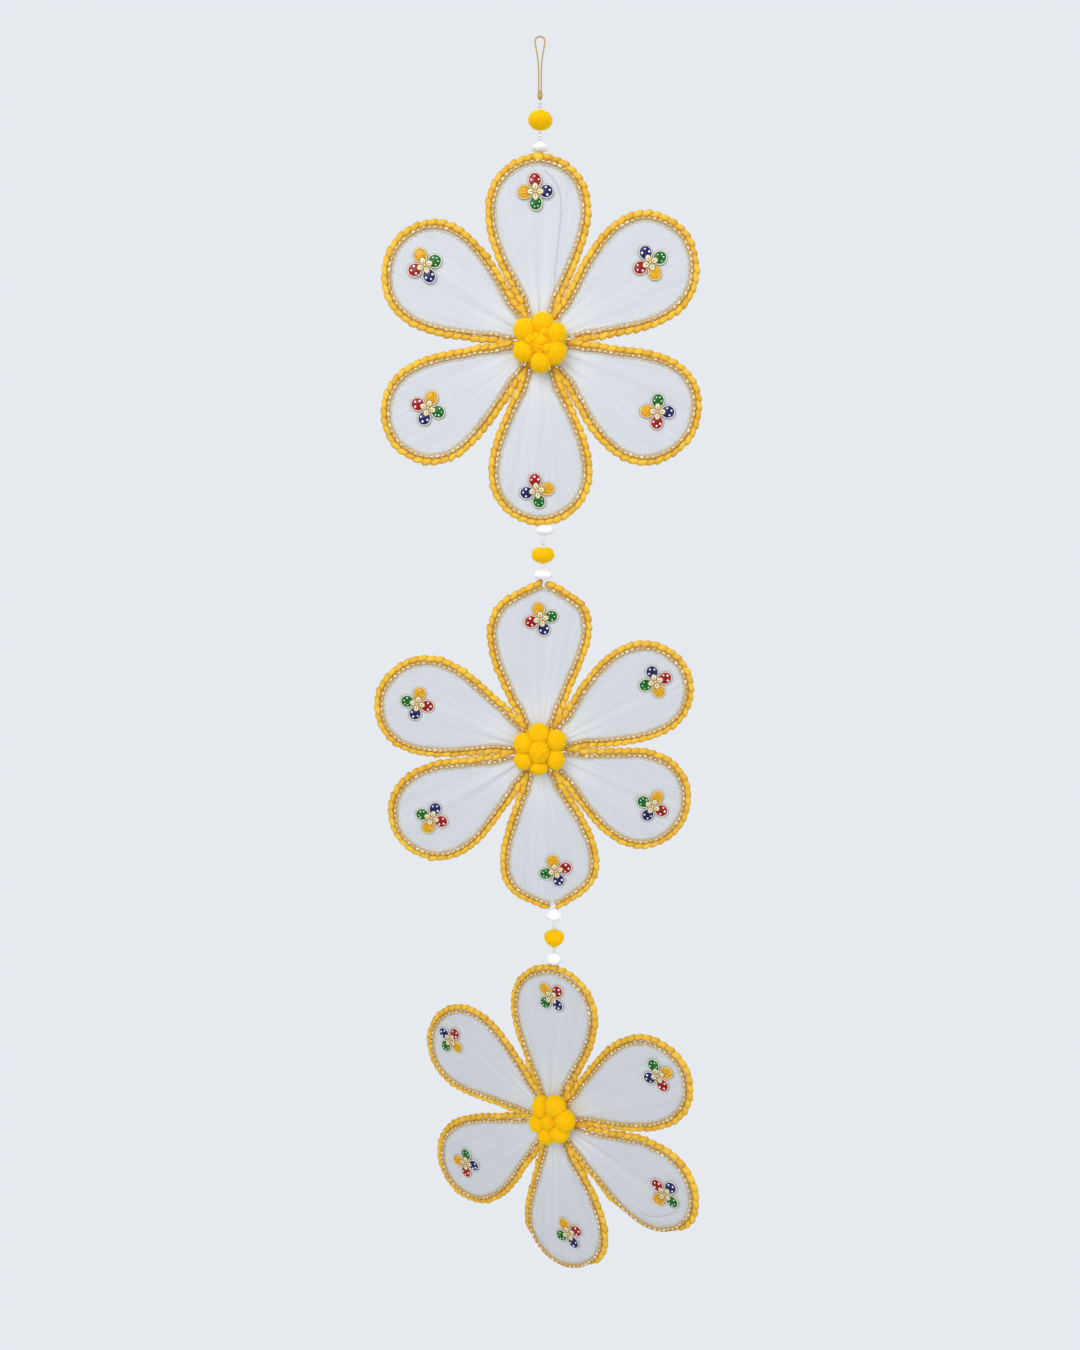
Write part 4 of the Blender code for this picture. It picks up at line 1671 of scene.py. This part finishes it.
@dataclass(frozen=True)
class EnamelMotif:
    """A four-lobed enamelled motif: lobes, rims, stones and a cream flower in the middle."""

    back: float = -0.8 * MM
    plate_front: float = -1.5 * MM
    lobe_reach: float = 8.9 * MM
    half_length: float = 5.3 * MM
    half_width: float = 4.8 * MM
    rim_radius: float = 0.42 * MM
    rim_forward: float = 0.15 * MM
    outline_radius: float = 0.22 * MM
    outline_back: float = 0.1 * MM
    outline_share: float = 2.2
    dome_height: float = 0.95 * MM
    tongue_reach: float = 4.0 * MM
    tongue_half_length: float = 2.7 * MM
    tongue_half_width: float = 2.2 * MM
    tongue_height: float = 0.4 * MM
    tongue_rise: float = 0.75
    tongue_edge: float = 0.1 * MM
    tongue_edge_share: float = 0.13
    vein_inset: float = 0.6 * MM
    vein_forward: float = 0.35 * MM
    vein_sizes: Triple = (1.5 * MM, 0.35 * MM, 0.4 * MM)
    stone_ring: float = 3.0 * MM
    stone_rise: float = 0.72
    stone_flatness: float = 0.6
    stone_size_range: Pair = (0.8, 1.1)
    stone_turn_deg: float = 25.0
    stone_fan_deg: float = 250.0
    stone_stray_deg: float = 8.0
    centre_rise: float = 0.8
    centre_step: float = 0.2 * MM
    stud_sizes: Triple = (1.1 * MM, 0.7 * MM, 1.1 * MM)
    small_bead_reach: float = 2.0 * MM
    small_bead_sizes: Triple = (1.0 * MM, 0.6 * MM, 0.55 * MM)
    centre_pad_sizes: Triple = (4.4 * MM, 0.7 * MM, 4.4 * MM)
    pad_sides: int = 16
    backing_sides: int = 24
    ring_steps: int = 28
    rim_sides: int = 5
    outline_sides: int = 4
    tongue_faces: tuple[int, int] = (18, 4)

    def build(self, flower: "Flower", petal: Petal, seed: int) -> bpy.types.Object:
        """Build one motif on its petal.

        Args:
            flower: The flower that it belongs to.
            petal: The petal that it lies on.
            seed: Seed of the places of its stones.

        Returns:
            The object.
        """
        random = np.random.default_rng(seed)
        motif = petal.motif
        name = f"{flower.name}_motif_{petal.where}"
        piece = Piece(f"{name}_enamelled")
        middle = np.array([motif.across_mm, motif.up_mm]) * MM
        for index, colour in enumerate(motif.winding.value):
            angle = math.radians(motif.turn_deg) + math.tau * index / 4
            self.add_lobe(piece, middle, angle, LOBES[colour], random)
            self.add_tongue(piece, middle, angle)
        self.add_centre(piece, middle, math.radians(motif.turn_deg))
        return piece.build(flower.place(), "jewel_motif", (name,))

    def lay(
        self, piece: Piece, shape: Shape, finish: Finish, middle: np.ndarray, angle: float,
        reach: float, depth: float, sizes: Triple,
    ) -> None:
        """Lay a shape at a distance from a point, in a direction.

        Args:
            piece: The piece.
            shape: The shape, of half size 1.
            finish: Its finish.
            middle: The point.
            angle: The direction.
            reach: The distance.
            depth: The shape's depth.
            sizes: Half sizes along the direction, in depth and across it.
        """
        along = heading(angle)[None]
        aside = heading(angle + math.pi / 2)[None]
        place = spots(
            standing(middle + along * reach, depth),
            standing(along * sizes[0], 0.0),
            np.array([[0.0, sizes[1], 0.0]]),
            standing(aside * sizes[2], 0.0),
        )
        piece.add(shape, place, finish)

    def add_lobe(
        self, piece: Piece, middle: np.ndarray, angle: float, lobe: Lobe, random: np.random.Generator
    ) -> None:
        """Add one lobe: its backing, enamel, rim, outline and stones.

        Args:
            piece: The piece.
            middle: The motif's middle.
            angle: The lobe's direction.
            lobe: The lobe's finishes and stones.
            random: Source of chance.
        """
        length, width, front = self.half_length, self.half_width, self.plate_front
        rim, thin = self.rim_radius, self.outline_radius
        grown = rim * self.outline_share
        backing = disc_shape(self.backing_sides)
        rim_ring = ring_shape(rim / length, self.ring_steps, self.rim_sides)
        thin_ring = ring_shape(thin / length, self.ring_steps, self.outline_sides)
        layers = (
            (backing, FELT, (self.back + front) / 2, grown, (self.back - front) / 2),
            (DOME, lobe.enamel, front, 0.0, self.dome_height),
            (rim_ring, lobe.rim, front - self.rim_forward, rim, length),
            (thin_ring, OUTLINE, front + self.outline_back, grown, length),
        )
        for shape, finish, depth, wider, thickness in layers:
            sizes = (length + wider, thickness, width + wider)
            self.lay(piece, shape, finish, middle, angle, self.lobe_reach, depth, sizes)
        self.add_stones(piece, middle + heading(angle) * self.lobe_reach, angle, lobe, random)

    def add_stones(
        self, piece: Piece, centre: np.ndarray, angle: float, lobe: Lobe, random: np.random.Generator
    ) -> None:
        """Add the small stones near a lobe's outer edge.

        Args:
            piece: The piece.
            centre: The lobe's middle.
            angle: The lobe's direction.
            lobe: The lobe's finishes and stones.
            random: Source of chance.
        """
        turn = random.uniform(-self.stone_turn_deg, self.stone_turn_deg)
        step = self.stone_fan_deg / lobe.stones
        height = self.plate_front - self.dome_height * self.stone_rise
        for index in range(lobe.stones):
            stray = random.uniform(-self.stone_stray_deg, self.stone_stray_deg)
            aside = math.radians(turn + step * (index - (lobe.stones - 1) / 2) + stray)
            size = lobe.stone_radius * random.uniform(*self.stone_size_range)
            sizes = (size, size * self.stone_flatness, size)
            self.lay(
                piece, BEAD, lobe.stone_finish, centre, angle + aside, self.stone_ring, height, sizes
            )

    def add_tongue(self, piece: Piece, middle: np.ndarray, angle: float) -> None:
        """Add the cream petal that reaches from the middle into a lobe, with its gilt edge and vein.

        Args:
            piece: The piece.
            middle: The motif's middle.
            angle: The lobe's direction.
        """
        height = self.plate_front - self.dome_height * self.tongue_rise
        length, width, edge = self.tongue_half_length, self.tongue_half_width, self.tongue_edge
        sizes = (length, self.tongue_height, width)
        self.lay(piece, BEAD_FINE, CREAM, middle, angle, self.tongue_reach, height, sizes)
        sizes = (length + edge, length, width + edge)
        ring = ring_shape(self.tongue_edge_share, *self.tongue_faces)
        self.lay(piece, ring, TONGUE_EDGE, middle, angle, self.tongue_reach, height - edge, sizes)
        reach, depth = self.tongue_reach - self.vein_inset, height - self.vein_forward
        self.lay(piece, BEAD, TONGUE_EDGE, middle, angle, reach, depth, self.vein_sizes)

    def add_centre(self, piece: Piece, middle: np.ndarray, angle: float) -> None:
        """Add the gilt stud in the middle, the small beads between the cream petals and their pad.

        Args:
            piece: The piece.
            middle: The motif's middle.
            angle: The first lobe's direction.
        """
        height = self.plate_front - self.dome_height * self.centre_rise
        front, rear = height - self.centre_step, height + self.centre_step
        self.lay(piece, BEAD_FINE, GILT_SPARK, middle, angle, 0.0, front, self.stud_sizes)
        for index in range(4):
            between = angle + math.tau * (index + 0.5) / 4
            reach = self.small_bead_reach
            self.lay(piece, BEAD, GILT_TWIST, middle, between, reach, rear, self.small_bead_sizes)
        pad = disc_shape(self.pad_sides)
        self.lay(piece, pad, FELT, middle, angle, 0.0, self.plate_front, self.centre_pad_sizes)


def disc_shape(segments: int) -> Shape:
    """Make a closed disc of radius 1 in the XZ plane, from -1 to 1 in depth.

    Args:
        segments: Faces around it.

    Returns:
        The disc.
    """
    bm = bmesh.new()
    bmesh.ops.create_cone(bm, cap_ends=True, segments=segments, radius1=1.0, radius2=1.0, depth=2.0)
    bmesh.ops.rotate(bm, verts=bm.verts, matrix=Matrix.Rotation(math.pi / 2, 3, "X"))
    return Shape.of(bm)


def dome_shape(around: int, up: int) -> Shape:
    """Make the front half of a unit ball, facing -Y.

    Args:
        around: Faces around it.
        up: Faces from pole to pole of the whole ball.

    Returns:
        The dome.
    """
    bm = bmesh.new()
    bmesh.ops.create_uvsphere(bm, u_segments=around, v_segments=up, radius=1.0)
    bmesh.ops.rotate(bm, verts=bm.verts, matrix=Matrix.Rotation(math.pi / 2, 3, "X"))
    everything = bm.verts[:] + bm.edges[:] + bm.faces[:]
    bmesh.ops.bisect_plane(bm, geom=everything, plane_co=(0, 0, 0), plane_no=(0, 1, 0), clear_outer=True)
    return Shape.of(bm)


BEAD = ball_shape(8, 5)
BEAD_FINE = ball_shape(12, 8)
DOME = dome_shape(20, 10)


@dataclass(frozen=True)
class PompomCluster:
    """The pompoms sewn on a flower's middle, on a flat pompom; lengths in millimetres."""

    back: float = -3.5
    half_depth: float = 9.2
    pressed: float = 0.6
    maker: PileMaker = PileMaker()
    pad_depth: float = -6.5
    pad_sizes: Triple = (15.5, 5.5, 15.0)

    def build(self, flower: "Flower", seed: int) -> None:
        """Build the pompoms of one flower as one piece, on the pad that they hide.

        Args:
            flower: The flower.
            seed: Seed of the pompoms' unevenness.
        """
        piece = Piece(f"{flower.name}_pompoms")
        for index, ball in enumerate(flower.pompoms):
            others = flower.pompoms[:index] + flower.pompoms[index + 1:]
            self.maker.add(piece, ball, others, False, seed + index)
        across, up = np.mean([(ball.across_mm, ball.up_mm) for ball in flower.pompoms], axis=0)
        pad = PompomBall(across, self.pad_depth, up, *self.pad_sizes)
        self.maker.add(piece, pad, flower.pompoms, False, seed + len(flower.pompoms))
        piece.build(flower.place(), "yellow_pompom", (f"{flower.name}_pompom_group",))


@dataclass(frozen=True)
class Flower:
    """One net flower: its place, its petals and the pompoms on its middle."""

    name: str
    middle_x_mm: float
    middle_z_mm: float
    turned_deg: float
    petals: tuple[Petal, ...]
    pompoms: tuple[PompomBall, ...]
    pulled: tuple[PulledThread, ...] = ()

    def place(self) -> Matrix:
        """Return the matrix that puts the flower's own frame in the hanging."""
        middle = Vector((self.middle_x_mm * MM, 0.0, self.middle_z_mm * MM))
        return Matrix.Translation(middle) @ Matrix.Rotation(-math.radians(self.turned_deg), 4, "Z")

    def outlines(self) -> list[Outline]:
        """Work out the petals' outlines.

        Returns:
            An outline for each petal, with the valleys beside it.
        """
        turns = [math.radians(petal.turn_deg) for petal in self.petals]
        valleys = []
        for index, turn in enumerate(turns):
            gap = (turns[(index + 1) % len(turns)] - turn) % math.tau
            valleys.append(turn + gap / 2)
        numbered = enumerate(self.petals)
        return [Outline(petal, valleys[index], valleys[index - 1]) for index, petal in numbered]

    def build(self, seed: int) -> None:
        """Build every piece of the flower.

        Args:
            seed: The flower's seed; each piece's own lies a little above it.
        """
        for index, outline in enumerate(self.outlines()):
            EnamelMotif().build(self, outline.petal, seed + MOTIF_SEED + index)
            Net().build(self, outline, seed + NET_SEED + index)
        YellowBraid().build(self, seed + YELLOW_BRAID_SEED)
        GiltBraid().build(self, seed + GILT_BRAID_SEED)
        PompomCluster().build(self, seed + POMPOM_SEED)


def sewn(
    across: float, up: float, half_width: float, half_height: float, forward: float, crease: float = 0.15
) -> PompomBall:
    """Describe a pompom sewn on a flower's middle, in millimetres.

    Args:
        across: Distance right of the flower's middle.
        up: Distance above it.
        half_width: Half its width before it is pressed against its neighbours.
        half_height: Half its height before that.
        forward: How far its middle stands out from the cluster's back.
        crease: Depth of its creases.

    Returns:
        The pompom.
    """
    pressed = PompomCluster.pressed
    sizes = (half_width + pressed, PompomCluster.half_depth, half_height + pressed)
    rumple = PompomBall.rumple_mm + crease
    return PompomBall(
        across, PompomCluster.back - forward, up, *sizes, rumple_mm=rumple, crease_mm=crease
    )


FLOWERS = (
    Flower(
        "upper", 0.0, -239.75, 0.0,
        (
            Petal("top", 90.5, 142.5, 35.5, 1.0, Motif(-3.8, 119.9, 92.0, Winding.AMBER_FIRST), tied=True),
            Petal("left_top", 148.0, 139.0, 36.5, 1.0, Motif(-95.2, 61.8, 203.0, Winding.BLUE_FIRST)),
            Petal("left_bottom", 212.0, 143.0, 35.0, -1.0, Motif(-94.3, -53.2, 159.5, Winding.BLUE_FIRST)),
            Petal("bottom", 270.0, 143.0, 36.0, 0.5, Motif(-2.6, -121.7, 101.0, Winding.BLUE_FIRST)),
            Petal("right_bottom", 329.5, 142.5, 38.5, -1.0, Motif(98.8, -56.0, 268.0, Winding.BLUE_FIRST)),
            Petal("right_top", 35.0, 143.0, 37.5, -1.5, Motif(91.0, 64.0, 206.0, Winding.AMBER_FIRST)),
        ),
        (
            sewn(-1.0, -1.6, 10.5, 10.0, 8.4, 1.0),
            sewn(-8.6, 0.6, 5.0, 5.4, 8.2, 0.8),
            sewn(5.6, -6.6, 5.4, 4.8, 8.2, 0.8),
            sewn(3.6, 5.8, 5.6, 4.6, 8.2, 0.8),
            sewn(2.0, 13.7, 9.3, 9.0, 7.6),
            sewn(-12.5, 8.7, 9.0, 9.3, 7.6),
            sewn(-13.5, -8.2, 8.3, 8.5, 7.4),
            sewn(0.5, -16.7, 8.5, 8.6, 7.2),
            sewn(12.0, -8.8, 9.5, 9.5, 7.6),
            sewn(12.5, 5.7, 9.0, 9.0, 7.6),
        ),
        (PulledThread((
            (4.1, 136.7), (10.6, 130.5), (14.8, 124.3), (16.8, 115.7), (17.3, 105.5), (16.1, 92.2),
            (14.0, 71.7), (12.4, 57.4), (10.8, 35.9),
        )),),
    ),
    Flower(
        "middle", 0.0, -586.05, 0.0,
        (
            Petal(
                "top", 88.5, 141.0, 37.0, 4.5, Motif(1.0, 115.3, 195.0, Winding.BLUE_FIRST),
                pinch=0.42, tip_gap_mm=3.4,
            ),
            Petal("left_top", 159.5, 144.0, 36.5, -2.5, Motif(-107.1, 41.2, 346.0, Winding.AMBER_FIRST)),
            Petal("left_bottom", 212.0, 143.5, 36.0, 0.5, Motif(-96.0, -61.4, 339.0, Winding.BLUE_FIRST)),
            Petal(
                "bottom", 274.5, 139.5, 36.0, 0.5, Motif(14.0, -110.0, 16.5, Winding.AMBER_FIRST),
                pinch=0.38, tip_gap_mm=6.0,
            ),
            Petal("right_bottom", 333.0, 136.5, 36.5, 1.0, Motif(99.5, -50.7, 333.0, Winding.AMBER_FIRST)),
            Petal("right_top", 30.0, 140.5, 35.5, 1.0, Motif(100.5, 60.7, 20.0, Winding.BLUE_FIRST)),
        ),
        (
            sewn(-1.0, 1.4, 9.2, 10.8, 10.0, 0.5),
            sewn(-1.0, 16.3, 9.0, 9.0, 7.6),
            sewn(-14.0, 7.8, 8.6, 9.0, 7.6),
            sewn(-14.3, -7.0, 7.8, 8.0, 7.2),
            sewn(-1.0, -13.6, 7.6, 5.6, 7.0),
            sewn(13.5, -6.2, 7.4, 9.0, 7.2),
            sewn(13.8, 10.8, 8.6, 8.6, 7.6),
        ),
    ),
    Flower(
        "lower", 12.0, -934.95, 30.0,
        (
            Petal("top", 89.5, 141.5, 37.0, 1.5, Motif(-1.2, 119.8, 47.0, Winding.AMBER_FIRST)),
            Petal("left_top", 156.5, 143.0, 37.0, -3.0, Motif(-113.3, 50.5, 55.0, Winding.BLUE_FIRST)),
            Petal("left_bottom", 218.5, 149.0, 34.0, -1.5, Motif(-96.4, -72.8, 271.0, Winding.BLUE_FIRST)),
            Petal(
                "bottom", 276.0, 140.0, 36.0, 3.5, Motif(17.9, -107.1, 33.0, Winding.AMBER_FIRST),
                roll=Roll(0.27, 0.68, 1.0),
            ),
            Petal(
                "right_bottom", 340.5, 142.5, 35.5, 0.0, Motif(113.1, -35.6, 142.5, Winding.AMBER_FIRST),
                roll=Roll(0.16, 0.47, 0.9),
            ),
            Petal("right_top", 34.0, 149.0, 34.0, -0.5, Motif(105.0, 72.5, 299.0, Winding.AMBER_FIRST)),
        ),
        (
            sewn(3.2, 5.5, 7.5, 7.0, 8.4, 0.8),
            sewn(8.8, 20.9, 9.5, 9.5, 7.6),
            sewn(-6.3, 16.4, 7.8, 9.6, 7.6),
            sewn(-8.9, -0.2, 8.4, 8.2, 7.4),
            sewn(0.1, -9.2, 8.6, 8.0, 7.4),
            sewn(12.7, -3.6, 8.8, 8.0, 7.6),
            sewn(18.8, 10.6, 9.4, 9.6, 7.8),
        ),
        (PulledThread((
            (89.8, -59.7), (92.2, -62.9), (98.5, -62.5), (106.6, -60.2), (115.8, -55.5), (124.8, -48.7),
        )),),
    ),
)


def upright(across: float, up: float, half_height: float, radius: float) -> np.ndarray:
    """Place a ball of the string so that its poles point up.

    Args:
        across: Its distance right of the hanging's middle, in metres.
        up: Its height.
        half_height: Half its height.
        radius: Its radius across.

    Returns:
        One place.
    """
    return spots(
        np.array([[across, 0.0, up]]), np.array([[0.0, 0.0, half_height]]),
        np.array([[0.0, radius, 0.0]]), np.array([[radius, 0.0, 0.0]]),
    )


@dataclass(frozen=True)
class Bead:
    """One bead of a string."""

    up_mm: float
    half_height_mm: float
    radius_mm: float
    finish: GlazedFinish


@dataclass(frozen=True)
class BeadRun:
    """A run of beads on its thread, between two pompoms."""

    node: str
    top_mm: float
    bottom_mm: float
    beads: tuple[Bead, ...]


@dataclass(frozen=True)
class BeadString:
    """A string of pompoms and beads."""

    across_mm: float
    balls: tuple[tuple[str, bool, PompomBall], ...]
    runs: tuple[BeadRun, ...]
    thread_radius: float = 0.35 * MM
    thread_pitch: float = 2.0 * MM
    thread_sides: int = 6
    maker: PileMaker = PileMaker(fibres=2400)
    white_maker: PileMaker = PileMaker(fibres=1400, fibre_length=1.2 * MM, untidiness=0.26)

    def build(self, seed: int) -> None:
        """Build the string's pompoms and beads.

        Args:
            seed: Seed of the first pompom's unevenness.
        """
        for index, (node, white, ball) in enumerate(self.balls):
            piece = Piece(f"{node}_pile")
            maker = self.white_maker if white else self.maker
            maker.add(piece, ball, (), white, seed + index)
            slot = "white_pompom" if white else "yellow_pompom"
            piece.build(Matrix.Identity(4), slot, (node,))
        for run in self.runs:
            self.add_run(run)

    def add_run(self, run: BeadRun) -> None:
        """Build one run of beads with its thread.

        Args:
            run: The run.
        """
        piece = Piece(f"{run.node}_strung")
        x = self.across_mm * MM
        line = np.array([[x, 0.0, run.top_mm * MM], [x, 0.0, run.bottom_mm * MM]])
        thread = Oval(self.thread_radius, self.thread_radius)
        piece.add(tube_shape(line, self.thread_pitch, self.thread_sides, thread), ONCE, THREAD)
        for bead in run.beads:
            place = upright(x, bead.up_mm * MM, bead.half_height_mm * MM, bead.radius_mm * MM)
            piece.add(BEAD_FINE, place, bead.finish)
        if run.node == KNOT.node:
            KNOT.add(piece, x)
        piece.build(Matrix.Identity(4), "beads", (run.node,))


@dataclass(frozen=True)
class Knot:
    """The drop-shaped knot where the gold cord's two ends are tied over the beads."""

    node: str = "top_knot_and_beads"
    top_mm: float = -42.0
    bottom_mm: float = -48.8
    widest_mm: float = 2.15
    turns: float = 4.0
    steps: int = 60
    ring_pitch: float = 0.6 * MM
    sides: int = 8
    section: Twist = Twist(0.75 * MM, 2.6 * MM, 0.7)
    arch_from: float = 0.14
    arch_span: float = 0.78
    arch_lean: float = 0.8
    arch_power: float = 0.9
    top_share: float = 0.6

    def add(self, piece: Piece, x: float) -> None:
        """Add the knot's winding and the body that it is wound on.

        Args:
            piece: The piece.
            x: The string's distance right of the hanging's middle.
        """
        share = np.linspace(0.0, 1.0, self.steps)
        arch = np.sin(math.pi * (self.arch_from + self.arch_span * share**self.arch_lean))
        reach = self.widest_mm * arch**self.arch_power * (self.top_share + (1 - self.top_share) * share)
        turn = share * math.tau * self.turns
        up = self.top_mm + (self.bottom_mm - self.top_mm) * share
        path = np.stack([x / MM + reach * np.cos(turn), reach * np.sin(turn), up], axis=1) * MM
        piece.add(tube_shape(path, self.ring_pitch, self.sides, self.section), ONCE, GOLD_CORD)
        middle = (self.top_mm + self.bottom_mm) / 2 * MM
        half_height = (self.top_mm - self.bottom_mm) / 2 * MM
        piece.add(BEAD_FINE, upright(x, middle, half_height, self.widest_mm * MM), GOLD_CORD)


KNOT = Knot()


def strung(
    node: str, colour: str, across: float, up: float, half_height: float, radius: float,
    forward: float = 0.0, **form: float,
) -> tuple[str, bool, PompomBall]:
    """Return a pompom of a string: its node, whether it is white, and its form."""
    return node, colour == "white", PompomBall(across, -forward, up, radius, radius, half_height, **form)


STRINGS = (
    BeadString(
        0.0,
        (
            strung("top_yellow_pompom", "yellow", 0.0, -64.2, 7.4, 9.7, lean_mm=0.9),
            strung("top_white_pompom", "white", 0.0, -84.0, 4.8, 6.1, taper=0.75),
        ),
        (
            BeadRun("top_knot_and_beads", -43.3, -56.5, (
                Bead(-51.0, 1.5, 1.8, CLEAR_BEAD), Bead(-53.8, 1.3, 1.7, CLEAR_BEAD),
            )),
            BeadRun("top_lower_beads", -72.9, -80.0, (
                Bead(-73.7, 1.25, 1.8, CLEAR_BEAD), Bead(-76.2, 1.3, 1.9, PEARL_BEAD),
                Bead(-78.8, 1.3, 1.9, CLEAR_BEAD),
            )),
        ),
    ),
    BeadString(
        2.5,
        (
            strung("upper_link_white_pompom", "white", 4.3, -394.4, 4.8, 8.5, forward=3.0),
            strung("upper_link_yellow_pompom", "yellow", 2.5, -415.4, 7.5, 9.9, dimple_mm=2.8),
            strung("upper_link_low_white_pompom", "white", 2.5, -432.5, 4.6, 8.7, forward=2.0),
        ),
        (
            BeadRun("upper_link_beads", -401.0, -409.4, (
                Bead(-402.2, 1.6, 1.9, PEARL_BEAD), Bead(-405.8, 1.6, 1.9, CLEAR_BEAD),
            )),
            BeadRun("upper_link_lower_beads", -423.2, -427.2, (Bead(-425.0, 1.6, 1.9, PEARL_BEAD),)),
        ),
    ),
    BeadString(
        12.8,
        (
            strung("lower_link_white_pompom", "white", 12.8, -737.0, 5.6, 7.9, taper=0.3),
            strung("lower_link_yellow_pompom", "yellow", 12.8, -759.5, 7.8, 9.0, taper=-0.18, dimple_mm=2.0),
            strung("lower_link_low_white_pompom", "white", 12.8, -779.0, 5.7, 7.5),
        ),
        (
            BeadRun("lower_link_beads", -744.0, -752.1, (
                Bead(-745.4, 1.6, 1.9, PEARL_BEAD), Bead(-749.2, 1.6, 1.9, CLEAR_BEAD),
            )),
            BeadRun("lower_link_lower_beads", -767.3, -773.5, (
                Bead(-769.0, 1.5, 1.9, PEARL_BEAD), Bead(-771.9, 1.2, 1.8, CLEAR_BEAD),
            )),
        ),
    ),
)


@dataclass(frozen=True)
class HangingLoop:
    """The loop of twisted gold cord that the hanging is hung by."""

    node: str = "hanging_loop"
    diameter: float = 1.6 * MM
    section: Twist = Twist(0.7 * MM, 3.2 * MM, 0.62)
    ring_pitch: float = 0.4 * MM
    sides: int = 12
    smoothing: int = 2
    half_outline_mm: tuple[Pair, ...] = (
        (1.05, -43.0), (1.05, -36.0), (1.1, -29.0), (1.3, -22.0), (2.1, -15.0),
        (3.3, -9.0), (4.0, -5.0), (3.2, -2.1), (0.0, -0.8),
    )

    def route(self) -> np.ndarray:
        """Draw the cord's centreline through its outline's points.

        Returns:
            Rows of (x, y, z), from the knot up and back to the knot.
        """
        right = [Vector((across, 0.0, up)) * MM for across, up in self.half_outline_mm]
        left = [Vector((-spot.x, 0.0, spot.z)) for spot in reversed(right[:-1])]
        points = right + left
        padded = [points[0] * 2 - points[1]] + points + [points[-1] * 2 - points[-2]]
        route = []
        for index in range(1, len(padded) - 2):
            before, start, end, after = padded[index - 1:index + 3]
            for step in range(self.smoothing):
                t = step / self.smoothing
                pull = (end - before) * t + (before * 2 - start * 5 + end * 4 - after) * t * t
                route.append(start + (pull + (start * 3 - before - end * 3 + after) * t**3) * 0.5)
        route.append(points[-1])
        return np.array([spot[:] for spot in route])

    def build(self) -> None:
        route = self.route()
        piece = Piece("hanging_cord")
        piece.add(tube_shape(route, self.ring_pitch, self.sides, self.section), ONCE, GOLD_CORD)
        cord = piece.build(Matrix.Identity(4), "gold_cord", (self.node,))


@dataclass(frozen=True)
class AreaLamp:
    """A soft square lamp that looks at a point."""

    name: str
    spot: Triple
    size: float
    power: float
    target: Triple = (0.0, 0.0, -0.55)

    def build(self) -> None:
        """Add the lamp to the scene."""
        lamp = bpy.data.lights.new(self.name, "AREA")
        lamp.shape = "SQUARE"
        lamp.size = self.size
        lamp.energy = self.power
        thing = bpy.data.objects.new(self.name, lamp)
        thing.location = self.spot
        away = Vector(self.spot) - Vector(self.target)
        thing.rotation_euler = away.to_track_quat("Z", "Y").to_euler()
        bpy.context.scene.collection.objects.link(thing)


@dataclass(frozen=True)
class Studio:
    """The plain pale surroundings, the soft lamps and the camera."""

    background: tuple = srgb(230, 234, 239)
    ambient: float = 0.8
    lens_mm: float = 28.9
    sensor_mm: float = 36.0
    camera_spot: Triple = (0.0, -0.9352, -0.3883)
    pitch_deg: float = 8.0
    floor_height: float = -2.2
    floor_radius: float = 1.15
    floor_sides: int = 96
    lamps: tuple[AreaLamp, ...] = (
        AreaLamp("key_lamp", (-0.7, -1.6, 0.6), 1.3, 22.0),
        AreaLamp("fill_lamp", (1.3, -1.3, -0.3), 1.5, 7.0),
        AreaLamp("back_lamp", (0.6, 1.5, 0.3), 1.5, 6.0),
    )

    def build(self) -> None:
        """Build the surroundings, the lamps and the camera."""
        self.build_world()
        self.build_floor()
        for lamp in self.lamps:
            lamp.build()
        self.build_camera()

    def build_world(self) -> None:
        """Light the scene evenly and show the pale background behind it."""
        world = bpy.data.worlds.new("pale_surroundings")
        world.use_nodes = True
        nodes, links = world.node_tree.nodes, world.node_tree.links
        background = nodes["Background"]
        background.inputs["Color"].default_value = self.background
        ray = nodes.new("ShaderNodeLightPath")
        strength = nodes.new("ShaderNodeMix")
        strength.inputs["A"].default_value = self.ambient
        strength.inputs["B"].default_value = 1.0
        links.new(ray.outputs["Is Camera Ray"], strength.inputs["Factor"])
        links.new(strength.outputs["Result"], background.inputs["Strength"])
        scene = bpy.context.scene
        scene.world = world
        scene.view_settings.view_transform = "Standard"

    def build_floor(self) -> None:
        """Lay the pale floor far below the hanging."""
        bm = bmesh.new()
        place = Matrix.Translation((0.0, 0.0, self.floor_height))
        bmesh.ops.create_circle(
            bm, cap_ends=True, segments=self.floor_sides, radius=self.floor_radius, matrix=place
        )
        mesh = bpy.data.meshes.new("studio_floor")
        bm.to_mesh(mesh)
        bm.free()
        mesh.materials.append(FLOOR.material())
        floor = bpy.data.objects.new("studio_floor", mesh)
        bpy.context.scene.collection.objects.link(floor)

    def build_camera(self) -> None:
        """Put the camera at the photograph's viewing angle."""
        data = bpy.data.cameras.new("camera")
        data.lens = self.lens_mm
        data.sensor_width = self.sensor_mm
        camera = bpy.data.objects.new("camera", data)
        camera.location = self.camera_spot
        camera.rotation_euler = (math.radians(90.0 - self.pitch_deg), 0.0, 0.0)
        bpy.context.scene.collection.objects.link(camera)
        bpy.context.scene.camera = camera


def main() -> None:
    """Build the hanging and its surroundings."""
    logging.basicConfig(level=logging.INFO, format="%(message)s")
    Studio().build()
    HangingLoop().build()
    for index, string in enumerate(STRINGS):
        string.build(STRING_SEED + STRING_SEED_STEP * index)
    for index, flower in enumerate(FLOWERS):
        flower.build(FLOWER_SEED * (index + 1))


if __name__ == "__main__":
    main()
